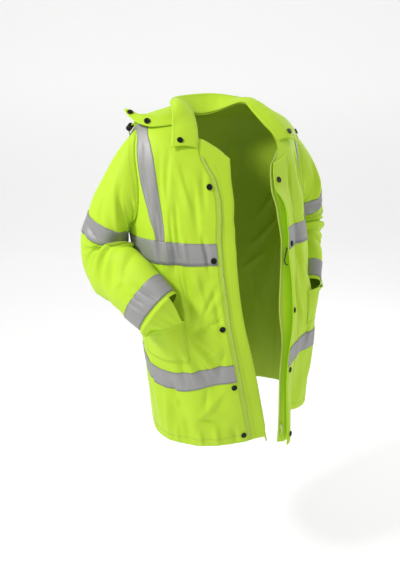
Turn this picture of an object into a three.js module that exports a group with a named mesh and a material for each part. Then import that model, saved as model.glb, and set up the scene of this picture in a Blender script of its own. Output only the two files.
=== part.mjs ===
// A long waterproof work jacket in high-visibility yellow with grey reflective tape, as it is
// worn: open at the front, hood laid back, both cuffs at the mouths of the lower pockets.
// Millimetres. +X is the wearer's left, -Y the front, +Z up. The origin is the middle of the
// neck opening at its base, between the two shoulder seams.
import * as THREE from "three";

// Driving dimensions.
const CLOTH = 1.6; // shell and lining together
const TAPE = 1.0; // reflective tape
const TAPE_WIDTH = 50;
const SEAM_GAP = 0.3; // between pieces that are sewn together
const WAIST_TAPE_TOP = 312; // level of the upper edge of the waist tape
const HEM_TAPE_TOP = 616;
const HEM_LEVEL = 850;
const ZIP_WIDTH = 11; // one zip half, from the panel's edge to its teeth
const SNAP_RADIUS = 7.5;
const SNAP_HEIGHT = 3;
const SEAM_DEGREES = 90; // shoulder and side seams lie at the sides of the body

// Body sections from neck to hem. The level is the row's name: below 340 mm it is the depth
// under the origin. A section is an ellipse with its own depth in front and behind, and the
// shoulder sections drop towards the front and the back.
const BODY_SECTIONS = table(
  ["level", "zSide", "zFront", "zBack", "midX", "midY", "halfWidth", "front", "back"],
  [
    [0, 0, -62, -30, 0, 0, 84, 74, 74],
    [40, -12, -84, -38, 0, 0, 125, 100, 100],
    [80, -28, -108, -54, 0, 0, 172, 124, 122],
    [120, -55, -136, -82, 0, 0, 214, 142, 138],
    [160, -98, -168, -120, 0, -3, 236, 155, 150],
    [210, -160, -214, -175, 0, -8, 244, 166, 158],
    [260, -225, -262, -232, 1, -16, 248, 174, 164],
    [310, -302, -310, -304, 2, -26, 250, 178, 166],
    [340, -340, -340, -340, 4, -32, 250, 180, 168],
    [450, -450, -450, -450, 8, -46, 252, 180, 175],
    [560, -560, -560, -560, 14, -58, 256, 178, 185],
    [700, -700, -700, -700, 16, -66, 248, 172, 190],
    [850, -850, -850, -850, 18, -70, 238, 165, 190],
  ],
);

// Angles from the middle of the front, in degrees, of the lines that run down each half of the
// front: the storm flap's free edge, the zip edge, the two edges of the brace tape, and the
// armhole or side seam.
const RIGHT_LINES = table(
  ["level", "flap", "edge", "tapeIn", "tapeOut", "side"],
  [
    [140, 10.5, 28, 66, 81, 84],
    [165, 11, 24, 61.5, 78, 80.5],
    [215, 11, 22, 59, 74, 76.5],
    [240, 12, 22.5, 58.5, 71.5, 76.5],
    [262, 13, 23, 58, 69, 78],
    [282, 13, 24, 57.5, 67, 82],
    [296, 13.5, 24.5, 57, 65, 90],
    [312, 14, 25, 57, 64.5, 90],
    [362, 15, 26, 56, 64, 90],
    [450, 14.5, 25, 54, 63, 90],
    [525, 13, 24, 53, 62, 90],
    [616, 9, 21, 51, 61, 90],
    [700, 5, 18, 48, 59, 90],
    [850, -1.5, 12, 44, 56, 90],
  ],
);
const LEFT_LINES = table(
  ["level", "flap", "edge", "tapeIn", "tapeOut", "side"],
  [
    [140, 21, 22.7, 62, 81, 84],
    [165, 18, 19.7, 57, 75, 80.5],
    [215, 16.5, 17.7, 53, 69, 76.5],
    [240, 17.5, 18.2, 51, 66.5, 76.5],
    [262, 18, 18.7, 50, 65.5, 78],
    [282, 18, 18.7, 49.5, 64.5, 82],
    [296, 17.5, 18.7, 49, 64, 90],
    [312, 17, 18.7, 49, 64, 90],
    [362, 15.2, 17.7, 48, 63, 90],
    [450, 16, 14.7, 46, 62, 90],
    [525, 14.8, 12.4, 45, 61, 90],
    [616, 12, 13.9, 44, 60, 90],
    [700, 10.8, 12, 43, 59, 90],
    [850, 9.4, 9.5, 42, 56, 90],
  ],
);
// Half of the back, measured from the side seam or armhole towards the spine.
const BACK_LINES = table(
  ["level", "side", "tapeOut", "tapeIn"],
  [
    [140, 97, 100, 118],
    [165, 104, 107, 124],
    [215, 111, 114, 131],
    [240, 112, 115, 132],
    [262, 110, 115, 132],
    [282, 103, 115, 132],
    [296, 90, 115, 132],
    [312, 90, 115, 132],
    [362, 90, 115, 131],
    [850, 90, 114, 130],
  ],
);

// The neckline of each half of the front, from the top of the zip to the shoulder seam: its
// angle on the wearer's right and left, and its level.
const NECKLINE = table(
  ["share", "right", "left", "level"],
  [
    [0, 34, 39, 105],
    [0.35, 42, 46, 54],
    [0.68, 61, 63, 12],
    [1, 90, 90, 0],
  ],
);
const SHOULDER_SEAM = { neck: 0, tapeIn: 72, tapeOut: 121, end: 124 };

// Rows of the panels: three over the shoulder, then one at each of these levels. The armhole
// ends at the pit. The tape edges are rows of their own.
const SHOULDER_ROWS = 3;
const PIT_LEVEL = 296;
const LEVELS = [
  140, 165, 190, 215, 240, 262, 282, PIT_LEVEL, WAIST_TAPE_TOP, 337, WAIST_TAPE_TOP + TAPE_WIDTH,
  394, 427, 460, 492, 524, 557, 590, HEM_TAPE_TOP, 641, HEM_TAPE_TOP + TAPE_WIDTH,
  697, 728, 759, 790, 820, HEM_LEVEL,
];
const PIT_ROW = SHOULDER_ROWS + LEVELS.indexOf(PIT_LEVEL);
const rowOf = (level) => SHOULDER_ROWS + LEVELS.indexOf(level);

// Columns of the panels, by the stretch that they cross.
const FRONT_COLUMNS = { neck: 4, shoulder: 3, tape: 2, side: 4 };
const BACK_COLUMNS = { side: 3, tape: 2, shoulder: 3, neck: 3 };

// The largest folds of the body. Each runs between two points given by angle and level, with
// its half width and depth, and fades towards its ends; a negative depth is a trough. Angles
// are positive on the wearer's left.
const BODY_FOLDS = table(
  ["angle1", "level1", "angle2", "level2", "width", "depth"],
  [
    [-57, 150, -56, 322, 11, -7],
    [-53, 322, -50, 478, 13, -9],
    [-66, 330, -62, 470, 15, 7],
    [-51, 484, -34, 560, 16, -8],
    [-50, 496, -40, 640, 20, 7],
    [-30, 380, -44, 470, 16, -6],
    [-36, 560, -30, 760, 24, -6],
    [-66, 590, -60, 840, 22, -7],
    [-82, 560, -80, 830, 18, 6],
    [-48, 700, -50, 850, 20, 6],
    [-40, 150, -46, 250, 20, -5],
    [28, 300, 34, 480, 16, -7],
    [44, 360, 62, 500, 18, -8],
    [36, 540, 34, 780, 22, -7],
    [58, 600, 50, 850, 20, 7],
    [74, 600, 80, 850, 20, -7],
    [110, 330, 128, 560, 22, -8],
    [134, 420, 146, 700, 26, 7],
    [160, 300, 168, 620, 26, -7],
    [172, 560, 176, 850, 26, 7],
    [146, 640, 140, 850, 24, -7],
    [-112, 330, -126, 540, 22, -8],
    [-138, 380, -150, 660, 26, 7],
    [-164, 320, -160, 560, 24, -6],
    [-170, 600, -164, 850, 26, -7],
    [-146, 660, -138, 850, 24, -6],
    [-104, 560, -102, 840, 20, -7],
    [102, 560, 100, 840, 20, 6],
  ],
);
// Broad dents and swells: where a sleeve lies against the body, and over the pockets.
const BODY_DENTS = table(
  ["angle", "level", "wide", "tall", "depth"],
  [
    [-74, 436, 60, 62, -15],
    [-60, 482, 46, 46, -8],
    [84, 480, 66, 80, -26],
    [98, 380, 56, 70, -8],
    [-66, 560, 60, 70, 10],
    [64, 560, 60, 70, 4],
    [36, 856, 58, 120, -40],
    [13, 862, 34, 130, 32],
    [44, 250, 30, 90, 7],
    [62, 260, 36, 90, -12],
  ],
);

// Sleeve centrelines from armhole to cuff, for an arm on the wearer's left; the other arm is
// mirrored. Across is the half width towards the body, along the half width the other way, and
// turn the direction of across in plan, in degrees from the side towards the front.
const SLEEVE_COLUMNS = ["x", "y", "z", "across", "along", "turn"];
const RIGHT_SLEEVE = table(SLEEVE_COLUMNS, [
  [232, 8, -172, 70, 70, -12],
  [251, 9, -190, 66, 69, -12],
  [269, 17, -232, 60, 69, -12],
  [287, 32, -284, 57, 69, -12],
  [300, 44, -330, 57, 70, -8],
  [304, 30, -366, 56, 76, 5],
  [300, -16, -390, 54, 80, 25],
  [288, -66, -402, 50, 77, 40],
  [272, -114, -428, 45, 71, 50],
  [245, -165, -466, 40, 64, 55],
]);
const LEFT_SLEEVE = table(SLEEVE_COLUMNS, [
  [232, 8, -172, 70, 70, -12],
  [262, 12, -186, 66, 68, -12],
  [296, 26, -224, 62, 68, -14],
  [321, 45, -272, 60, 68, -17],
  [335, 60, -320, 58, 66, -16],
  [338, 54, -366, 54, 66, -12],
  [330, 24, -410, 46, 64, 0],
  [312, -18, -460, 40, 60, 12],
  [287, -58, -518, 34, 56, 22],
]);
const SLEEVE_RINGS = 20;
const SLEEVE_STEP = 3; // least distance between two rings
const SLEEVE_CLEAR = 4.5; // from the body's surface to the sleeve's outer face
const SLEEVE_BLEND = 96; // length over which the armhole's shape turns into the tube
const SLEEVE_TAPES = { upper: 118, cuff: 60 }; // from the armhole, and back from the cuff
// Folds round the sleeves: share of the length, angle round the sleeve where the fold is
// deepest, its half width along the sleeve, how far round it reaches, and its depth.
const SLEEVE_FOLDS = table(
  ["share", "angle", "width", "reach", "depth"],
  [
    [0.5, 125, 60, 55, 9],
    [0.3, 150, 12, 80, -6],
    [0.4, 120, 11, 70, -7],
    [0.47, 105, 10, 75, 6],
    [0.53, 110, 9, 70, -10],
    [0.59, 115, 9, 70, 7],
    [0.65, 105, 10, 70, -8],
    [0.74, 80, 12, 60, -4],
    [0.45, -70, 14, 50, -4],
    [0.6, -60, 14, 60, 4],
    [0.82, -90, 12, 60, -4],
  ],
);

// The free edge of the collar, at shares of its length from the right end to the left end, and
// how far the collar rolls up between the neckline and this edge. It stands behind the neck and
// lies outwards over the shoulders.
const COLLAR_EDGE = table(
  ["share", "x", "y", "z", "roll"],
  [
    [0, -174, -101, -92, 5],
    [0.14, -158, -72, -56, 8],
    [0.27, -139, -36, -14, 12],
    [0.36, -106, 42, 3, 14],
    [0.44, -66, 92, 14, 6],
    [0.5, -8, 108, 20, 0],
    [0.57, 55, 102, 22, 0],
    [0.64, 100, 66, 15, 4],
    [0.73, 132, 20, 3, 10],
    [0.86, 172, -50, -36, 14],
    [0.93, 185, -77, -64, 13],
    [1, 191, -101, -98, 9],
  ],
);

// The hood lies open behind the neck. Sections from the right end of its seam to the left end,
// each from the seam (row 0) over the back and up again to the rim of the face opening (row 5),
// as angle and level on the body and the height over it.
const HOOD_SECTIONS = table(
  ["share", "row", "angle", "level", "lift"],
  [
    [0, 0, -57, 64, 3], [0, 1, -61, 80, 3.4], [0, 2, -67, 98, 4.5],
    [0, 3, -75, 112, 9], [0, 4, -86, 117, 24], [0, 5, -98, 112, 48],
    [0.05, 0, -62, 42, 3], [0.05, 1, -67, 56, 5], [0.05, 2, -73, 76, 9],
    [0.05, 3, -80, 93, 13], [0.05, 4, -90, 104, 24], [0.05, 5, -99, 106, 40],
    [0.1, 0, -70, 22, 3], [0.1, 1, -74, 38, 3], [0.1, 2, -80, 58, 3.4],
    [0.1, 3, -87, 78, 4], [0.1, 4, -94, 94, 10], [0.1, 5, -101, 102, 22],
    [0.25, 0, -110, 8, 4], [0.25, 1, -117, 40, 6], [0.25, 2, -124, 84, 10],
    [0.25, 3, -128, 120, 22], [0.25, 4, -127, 108, 29], [0.25, 5, -122, 84, 14],
    [0.38, 0, -140, 6, 5], [0.38, 1, -143, 46, 8], [0.38, 2, -146, 116, 14],
    [0.38, 3, -148, 166, 28], [0.38, 4, -146, 142, 44], [0.38, 5, -142, 104, 30],
    [0.5, 0, -180, 6, 6], [0.5, 1, -180, 50, 12], [0.5, 2, -180, 140, 18],
    [0.5, 3, -180, 188, 36], [0.5, 4, -180, 142, 62], [0.5, 5, -180, 60, 50],
    [0.62, 0, -220, 6, 6], [0.62, 1, -217, 50, 12], [0.62, 2, -214, 126, 18],
    [0.62, 3, -213, 174, 34], [0.62, 4, -215, 128, 58], [0.62, 5, -218, 58, 50],
    [0.75, 0, -250, 8, 4], [0.75, 1, -244, 44, 8], [0.75, 2, -240, 92, 13],
    [0.75, 3, -238, 128, 24], [0.75, 4, -241, 108, 34], [0.75, 5, -246, 68, 18],
    [0.9, 0, -290, 26, 3], [0.9, 1, -285, 50, 4], [0.9, 2, -281, 76, 5],
    [0.9, 3, -278, 98, 7], [0.9, 4, -275, 116, 10], [0.9, 5, -272, 130, 12],
    [1, 0, -303, 66, 3], [1, 1, -300, 84, 3.4], [1, 2, -297, 104, 4],
    [1, 3, -294, 122, 4.6], [1, 4, -292, 138, 5.4], [1, 5, -290, 152, 6],
  ],
);
const HOOD_STATIONS = [0, 0.05, 0.1, 0.25, 0.38, 0.5, 0.62, 0.75, 0.9, 1];

// Cords, as angle and level on the body and height over it.
const HOOD_CORD = [
  [-88, 108, 11],
  [-93, 117, 12],
  [-99, 127, 11],
  [-104, 136, 2.1],
];
const WAIST_CORD = [
  [19.5, 362, 2.2],
  [16.8, 376, 6],
  [15.2, 390, 7.5],
  [15.8, 398, 7],
  [17.8, 403, 5.5],
];

// Snaps on the fronts: the same levels on both sides, so that they meet when it is closed.
const SNAP_LEVELS = [188, 350, 520, 680, 828];

const LIME = 0xc5ec5a;
const GREY = 0x8f8f91;
const BLACK = 0x151517;

function table(columns, rows) {
  return rows.map((row) => Object.fromEntries(columns.map((name, i) => [name, row[i]])));
}

const radians = THREE.MathUtils.degToRad;
const mix = THREE.MathUtils.lerp;
const smooth = (x) => THREE.MathUtils.smoothstep(x, 0, 1);

// A smooth curve through a table's rows, read at one value of its key column.
function between(rows, key, at) {
  const last = rows.length - 1;
  let i = 0;
  while (i < last - 1 && at > rows[i + 1][key]) i++;
  const [a, b, c, d] = [-1, 0, 1, 2].map((k) => rows[Math.min(Math.max(i + k, 0), last)]);
  const span = c[key] - b[key];
  const t = THREE.MathUtils.clamp((at - b[key]) / span, 0, 1);
  const out = {};
  for (const name of Object.keys(b)) {
    const m0 = ((c[name] - a[name]) / (c[key] - a[key])) * span;
    const m1 = ((d[name] - b[name]) / (d[key] - b[key])) * span;
    out[name] =
      (2 * t ** 3 - 3 * t ** 2 + 1) * b[name] + (t ** 3 - 2 * t ** 2 + t) * m0 +
      (3 * t ** 2 - 2 * t ** 3) * c[name] + (t ** 3 - t ** 2) * m1;
  }
  return out;
}

// The body without its folds, at an angle in degrees (positive on the wearer's left).
function plainBody(angle, level) {
  const s = between(BODY_SECTIONS, "level", level);
  const sin = Math.sin(radians(angle));
  const cos = Math.cos(radians(angle));
  const depth = cos > 0 ? s.front : s.back;
  const end = cos > 0 ? s.zFront : s.zBack;
  const z = s.zSide + (end - s.zSide) * cos * cos + lift(angle, level);
  return new THREE.Vector3(s.midX + s.halfWidth * sin, s.midY - depth * cos, z);
}

// The left front hangs a little higher than the right one and its lower corner drops. Under
// the right pocket the weight of the hand pulls the rows down.
function lift(angle, level) {
  const bump = (x, mid, half) => Math.exp(-(((x - mid) / half) ** 2));
  const raised = 20 * bump(angle, 25, 42) * smooth((level - 150) / 120) *
    (1 - smooth((level - 680) / 150));
  const corner = -18 * bump(angle, 8, 14) * smooth((level - 720) / 130);
  const pulled = -26 * bump(angle, -62, 26) * bump(level, 660, 110);
  const side = 8 * bump(angle, -98, 18) * bump(level, 630, 90);
  return angle > 0 ? raised + corner : pulled + side;
}

// How far the cloth stands out from the plain body at one place.
function relief(angle, level) {
  const perDegree = 3.6; // mm along the cloth for each degree
  let out = 0;
  for (const f of BODY_FOLDS) {
    const ax = f.angle1 * perDegree;
    const bx = f.angle2 * perDegree;
    const dx = bx - ax;
    const dy = f.level2 - f.level1;
    const px = angle * perDegree - ax;
    const py = level - f.level1;
    const t = (px * dx + py * dy) / (dx * dx + dy * dy);
    const held = THREE.MathUtils.clamp(t, 0, 1);
    const off = Math.hypot(px - held * dx, py - held * dy);
    const ends = 0.25 + 0.75 * Math.sin(Math.PI * held);
    out += f.depth * ends * Math.exp(-((off / f.width) ** 2));
  }
  for (const d of BODY_DENTS) {
    const across = ((angle - d.angle) * perDegree) / d.wide;
    const down = (level - d.level) / d.tall;
    out += d.depth * Math.exp(-(across ** 2 + down ** 2));
  }
  return out;
}

function body(angle, level) {
  const step = 0.5;
  const here = plainBody(angle, level);
  const round = plainBody(angle + step, level).sub(plainBody(angle - step, level));
  const down = plainBody(angle, Math.min(level + step * 4, HEM_LEVEL))
    .sub(plainBody(angle, Math.max(level - step * 4, 0)));
  const out = down.cross(round).normalize();
  return { point: here.addScaledVector(out, relief(angle, level)), out };
}

// Moves a point out of the body where it would lie inside it or closer than a gap.
function clearOfBody(p, gap) {
  let level = Math.max(-p.z, 0);
  let angle = 0;
  for (let k = 0; k < 8; k++) {
    const s = between(BODY_SECTIONS, "level", Math.min(level, HEM_LEVEL));
    const depth = p.y < s.midY ? s.front : s.back;
    const turn = Math.atan2((p.x - s.midX) / s.halfWidth, (s.midY - p.y) / depth);
    angle = THREE.MathUtils.radToDeg(turn);
    level = THREE.MathUtils.clamp(level + body(angle, level).point.z - p.z, 0, HEM_LEVEL);
  }
  const { point, out } = body(angle, level);
  const off = p.clone().sub(point).dot(out);
  return off < gap ? p.clone().addScaledVector(out, gap - off) : p;
}

// A sheet of cloth: a grid of points on its outer face, with the outward direction at each.
function sheetOf(points, { closed = false, flip = false } = {}) {
  const rows = points.length;
  const cols = points[0].length;
  const at = (r, c) => {
    const rr = THREE.MathUtils.clamp(r, 0, rows - 1);
    const cc = closed ? (c + cols) % cols : THREE.MathUtils.clamp(c, 0, cols - 1);
    return points[rr][cc];
  };
  const normals = points.map((row, r) =>
    row.map((_, c) => {
      const down = at(r + 1, c).clone().sub(at(r - 1, c));
      const round = at(r, c + 1).clone().sub(at(r, c - 1));
      const n = down.cross(round).normalize();
      return flip ? n.negate() : n;
    }),
  );
  return { points, normals, closed };
}

function cut(sheet, [r0, r1], [c0, c1]) {
  const part = (grid) => grid.slice(r0, r1 + 1).map((row) => row.slice(c0, c1 + 1));
  return { points: part(sheet.points), normals: part(sheet.normals), closed: false };
}

// Pulls the edges of a sheet in along its own rows and columns, for the gap at a seam.
function inset(sheet, { top = 0, bottom = 0, first = 0, last = 0 }) {
  const points = sheet.points.map((row) => row.map((p) => p.clone()));
  const rows = points.length;
  const cols = points[0].length;
  const pull = (p, towards, by) => {
    const way = towards.clone().sub(p);
    p.addScaledVector(way, by / Math.max(way.length(), by * 2));
  };
  const old = points.map((row) => row.map((p) => p.clone()));
  for (let c = 0; c < cols; c++) {
    if (top) pull(points[0][c], old[1][c], top);
    if (bottom) pull(points[rows - 1][c], old[rows - 2][c], bottom);
  }
  const wide = points.map((row) => row.map((p) => p.clone()));
  for (let r = 0; r < rows; r++) {
    if (first) pull(points[r][0], wide[r][1], first);
    if (last) pull(points[r][cols - 1], wide[r][cols - 2], last);
  }
  return { ...sheet, points };
}

// Moves every point of a sheet out along its own direction, by a number or by a function of
// the point's share of the rows and of the columns.
function raised(sheet, by) {
  const rows = sheet.points.length - 1;
  const cols = sheet.points[0].length - 1;
  const amount = typeof by === "function" ? by : () => by;
  const points = sheet.points.map((row, r) =>
    row.map((p, c) => p.clone().addScaledVector(sheet.normals[r][c], amount(r / rows, c / cols))),
  );
  return { ...sheet, points };
}

// A closed wall between two offsets of a sheet.
function wall(sheet, inner, outer, bend = (way) => way) {
  const { points, normals, closed } = sheet;
  const rows = points.length;
  const cols = points[0].length;
  const corners = [];
  const layer = (offset) => {
    const base = corners.length / 3;
    points.forEach((row, r) =>
      row.forEach((p, c) => {
        const way = bend(normals[r][c].clone().multiplyScalar(offset), r, c);
        corners.push(p.x + way.x, p.y + way.y, p.z + way.z);
      }),
    );
    return (r, c) => base + r * cols + (closed ? c % cols : c);
  };
  const inside = layer(inner);
  const outside = layer(outer);
  const faces = [];
  const quad = (a, b, c, d) => faces.push(a, b, c, a, c, d);
  const across = closed ? cols : cols - 1;
  for (let r = 0; r < rows - 1; r++)
    for (let c = 0; c < across; c++) {
      quad(outside(r, c), outside(r + 1, c), outside(r + 1, c + 1), outside(r, c + 1));
      quad(inside(r, c), inside(r, c + 1), inside(r + 1, c + 1), inside(r + 1, c));
    }
  for (let c = 0; c < across; c++) {
    quad(outside(0, c), outside(0, c + 1), inside(0, c + 1), inside(0, c));
    const low = rows - 1;
    quad(inside(low, c), inside(low, c + 1), outside(low, c + 1), outside(low, c));
  }
  if (!closed)
    for (let r = 0; r < rows - 1; r++) {
      quad(inside(r, 0), inside(r + 1, 0), outside(r + 1, 0), outside(r, 0));
      const end = cols - 1;
      quad(outside(r, end), outside(r + 1, end), inside(r + 1, end), inside(r, end));
    }
  return facingOut(corners, faces);
}

// Turns the faces round if the body that they close is inside out.
function facingOut(corners, faces) {
  let volume = 0;
  const at = (i) => new THREE.Vector3().fromArray(corners, i * 3);
  for (let i = 0; i < faces.length; i += 3)
    volume += at(faces[i]).dot(at(faces[i + 1]).cross(at(faces[i + 2])));
  if (volume < 0)
    for (let i = 0; i < faces.length; i += 3)
      [faces[i + 1], faces[i + 2]] = [faces[i + 2], faces[i + 1]];
  const shape = new THREE.BufferGeometry();
  shape.setAttribute("position", new THREE.Float32BufferAttribute(corners, 3));
  shape.setIndex(faces);
  return shape;
}

const jacket = new THREE.Group();
jacket.name = "hi_vis_work_jacket";

function add(name, shape, color, roughness = 0.6, metalness = 0) {
  const mesh = new THREE.Mesh(
    shape,
    new THREE.MeshStandardMaterial({ color, roughness, metalness }),
  );
  mesh.name = name;
  jacket.add(mesh);
  return mesh;
}

// Evenly spaced values over the stretches between some marks.
function spread(marks, counts) {
  const out = [marks[0]];
  counts.forEach((count, i) => {
    for (let k = 1; k <= count; k++) out.push(mix(marks[i], marks[i + 1], k / count));
  });
  return out;
}

// Slants the rows near a pocket mouth, which runs down towards the side seam.
function slanted(angle, level) {
  const side = THREE.MathUtils.clamp((Math.abs(angle) - 50) / 38, 0, 1);
  const front = Math.abs(angle) <= SEAM_DEGREES ? 1 : Math.max(0, 1 - (Math.abs(angle) - 90) / 24);
  const near = Math.max(0, 1 - Math.abs(level - 492) / 100);
  return level + 40 * smooth(side) * front * smooth(near);
}

// One half of the front as angle and level pairs, rows from the neck and shoulder to the hem,
// columns from the zip edge to the side.
function frontGrid(name, lines) {
  const { neck, shoulder, tape, side } = FRONT_COLUMNS;
  const counts = [neck, shoulder, tape, side];
  const top = [];
  for (let c = 0; c <= neck; c++) {
    const n = between(NECKLINE, "share", c / neck);
    top.push([n[name], n.level]);
  }
  const seam = [SHOULDER_SEAM.neck, SHOULDER_SEAM.tapeIn, SHOULDER_SEAM.tapeOut, SHOULDER_SEAM.end];
  spread(seam, [shoulder, tape, side]).slice(1)
    .forEach((level) => top.push([SEAM_DEGREES, level]));
  const anglesAt = (level) => {
    const l = between(lines, "level", level);
    const nape = mix(l.edge, l.tapeIn, neck / (neck + shoulder));
    return spread([l.edge, nape, l.tapeIn, l.tapeOut, l.side], counts);
  };
  const first = anglesAt(LEVELS[0]);
  const rows = [];
  for (let r = 0; r < SHOULDER_ROWS; r++) {
    const share = r / SHOULDER_ROWS;
    rows.push(top.map(([a, l], c) => [mix(a, first[c], share), mix(l, LEVELS[0], share)]));
  }
  for (const level of LEVELS) rows.push(anglesAt(level).map((a) => [a, slanted(a, level)]));
  return rows;
}

// One half of the back, columns from the side to the spine.
function backGrid() {
  const { side, tape, shoulder, neck } = BACK_COLUMNS;
  const counts = [side, tape, shoulder, neck];
  const seam = [SHOULDER_SEAM.end, SHOULDER_SEAM.tapeOut, SHOULDER_SEAM.tapeIn, SHOULDER_SEAM.neck];
  const top = spread(seam, [side, tape, shoulder]).map((level) => [SEAM_DEGREES, level]);
  for (let c = 1; c <= neck; c++) top.push([mix(SEAM_DEGREES, 180, c / neck), 0]);
  const anglesAt = (level) => {
    const l = between(BACK_LINES, "level", level);
    const nape = mix(l.tapeIn, 180, shoulder / (neck + shoulder));
    return spread([l.side, l.tapeOut, l.tapeIn, nape, 180], counts);
  };
  const first = anglesAt(LEVELS[0]);
  const rows = [];
  for (let r = 0; r < SHOULDER_ROWS; r++) {
    const share = r / SHOULDER_ROWS;
    rows.push(top.map(([a, l], c) => [mix(a, first[c], share), mix(l, LEVELS[0], share)]));
  }
  for (const level of LEVELS) rows.push(anglesAt(level).map((a) => [a, slanted(a, level)]));
  return rows;
}

// The sheet of a panel, from the angle and level of each point.
function panelOf(grid) {
  const spots = grid.map((row) => row.map(([angle, level]) => body(angle, level)));
  return {
    points: spots.map((row) => row.map((spot) => spot.point)),
    normals: spots.map((row) => row.map((spot) => spot.out)),
    closed: false,
  };
}
const onSide = (grid, sign) => grid.map((row) => row.map(([angle, level]) => [sign * angle, level]));
const halfSeam = SEAM_GAP / 2;

const SIDES = {
  right: { sign: -1, lines: RIGHT_LINES, sleeve: RIGHT_SLEEVE },
  left: { sign: 1, lines: LEFT_LINES, sleeve: LEFT_SLEEVE },
};
for (const [name, side] of Object.entries(SIDES)) {
  side.name = name;
  side.front = panelOf(onSide(frontGrid(name, side.lines), side.sign));
}
const halfBack = backGrid();
const leftHalf = onSide(halfBack, 1).map((row) => row.reverse().slice(1));
const back = panelOf(onSide(halfBack, -1).map((row, r) => row.concat(leftHalf[r])));
const BACK_LAST = back.points[0].length - 1;

for (const [name, side] of Object.entries(SIDES)) {
  const edges = { top: halfSeam, last: halfSeam };
  add("front_" + name, wall(inset(side.front, edges), -CLOTH, 0), LIME);
}
const backEdges = { top: halfSeam, first: halfSeam, last: halfSeam };
add("back", wall(inset(back, backEdges), -CLOTH, 0), LIME);

// Reflective tape: a sub-grid of the panel, moved out.
const tapeEdges = { top: SEAM_GAP, bottom: SEAM_GAP, first: 1, last: 1 };
function addTapeWall(name, sheet, from) {
  add(name, wall(sheet, from, from + TAPE), GREY, 0.45, 0.1);
}
function addTape(name, sheet, rows, cols) {
  addTapeWall(name, inset(cut(sheet, rows, cols), tapeEdges), SEAM_GAP);
}

const frontTape = FRONT_COLUMNS.neck + FRONT_COLUMNS.shoulder;
const frontLast = frontTape + FRONT_COLUMNS.tape + FRONT_COLUMNS.side;
const bands = { waist: WAIST_TAPE_TOP, hem: HEM_TAPE_TOP };
const braceRows = [0, rowOf(WAIST_TAPE_TOP)];
for (const [name, side] of Object.entries(SIDES)) {
  addTape("brace_tape_front_" + name, side.front, braceRows, [frontTape, frontTape + 2]);
  for (const [band, level] of Object.entries(bands)) {
    const rows = [rowOf(level), rowOf(level + TAPE_WIDTH)];
    const from = name === "left" ? 3 : 0; // the storm flap covers the left front's edge
    addTape(band + "_tape_front_" + name, side.front, rows, [from, frontLast]);
  }
}
const backTape = BACK_COLUMNS.side;
addTape("brace_tape_back_right", back, braceRows, [backTape, backTape + 2]);
addTape("brace_tape_back_left", back, braceRows, [BACK_LAST - backTape - 2, BACK_LAST - backTape]);
for (const [band, level] of Object.entries(bands)) {
  const rows = [rowOf(level), rowOf(level + TAPE_WIDTH)];
  addTape(band + "_tape_back", back, rows, [0, BACK_LAST]);
}

// A sleeve: the armhole's loop turned into a tube along the centreline. The loop goes down the
// front panel's edge and up the back panel's.
function sleeveOf(side, backColumn) {
  const { sign, front, sleeve } = side;
  const mirror = (v) => new THREE.Vector3(sign * v.x, v.y, v.z);
  const loop = [];
  for (let r = 0; r <= PIT_ROW; r++) loop.push(mirror(front.points[r][frontLast]));
  for (let r = PIT_ROW - 1; r > 0; r--) loop.push(mirror(back.points[r][backColumn]));
  const spots = sleeve.map((s) => new THREE.Vector3(s.x, s.y, s.z));
  const line = new THREE.CatmullRomCurve3(spots, false, "centripetal");
  line.arcLengthDivisions = 400;
  const length = line.getLength();
  const stops = sleeveStops(length);
  const middle = spots[0];
  const turn = loop.map((p) => Math.atan2(-(p.y - middle.y), p.z - middle.z));
  for (let i = 1; i < turn.length; i++) while (turn[i] < turn[i - 1]) turn[i] += 2 * Math.PI;
  const even = turn.map((_, i) => turn[0] + (2 * Math.PI * i) / turn.length);
  let along = new THREE.Vector3(1, 0, -0.2).normalize();
  let top = new THREE.Vector3(0, 0, 1).addScaledVector(along, 0.2).normalize();
  let before = null;
  const rings = stops.map((stop) => {
    const share = stop / length;
    const centre = line.getPointAt(share);
    const next = stop === 0 ? along : line.getTangentAt(share);
    top = top.applyQuaternion(new THREE.Quaternion().setFromUnitVectors(along, next));
    along = next;
    const front = along.clone().cross(top);
    const half = between(
      sleeve.map((s, i) => ({ ...s, spot: i / (sleeve.length - 1) })),
      "spot", line.getUtoTmapping(share),
    );
    const turned = radians(half.turn);
    const inwards = new THREE.Vector3(Math.cos(turned), -Math.sin(turned), 0);
    inwards.addScaledVector(along, -inwards.dot(along)).normalize();
    const blend = smooth(stop / SLEEVE_BLEND);
    const ring = loop.map((p, i) => {
      const angle = mix(turn[i], even[i], blend);
      const way = top.clone().multiplyScalar(Math.cos(angle))
        .addScaledVector(front, Math.sin(angle));
      const lean = way.dot(inwards) ** 2;
      let radius = 1 / Math.sqrt(lean / half.across ** 2 + (1 - lean) / half.along ** 2);
      radius += sleeveRelief(share, stop, length, angle);
      const tube = centre.clone().addScaledVector(way, radius);
      const carried = p.clone().add(centre).sub(middle);
      carried.x += SEAM_GAP + 0.1;
      const at = mirror(carried.lerp(tube, blend));
      const clear = mix(SEAM_GAP, SLEEVE_CLEAR, smooth(stop / 40));
      return stop > 0 ? clearOfBody(at, clear) : at;
    });
    // In the crook of the elbow no ring falls back behind the one before it.
    const onwards = mirror(along);
    ring.forEach((p, i) => {
      const step = before ? p.clone().sub(before[i]).dot(onwards) : SLEEVE_STEP;
      if (step < SLEEVE_STEP) p.addScaledVector(onwards, SLEEVE_STEP - step);
    });
    before = ring;
    return ring;
  });
  return { sheet: sheetOf(rings, { closed: true, flip: sign > 0 }), stops, length };
}

function sleeveStops(length) {
  const bandStarts = [SLEEVE_TAPES.upper, length - SLEEVE_TAPES.cuff];
  const marks = [0];
  for (const start of bandStarts) marks.push(start, start + TAPE_WIDTH);
  marks.push(length);
  const counts = [4, 2, SLEEVE_RINGS - 11, 2, 1];
  return spread(marks, counts);
}

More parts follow.
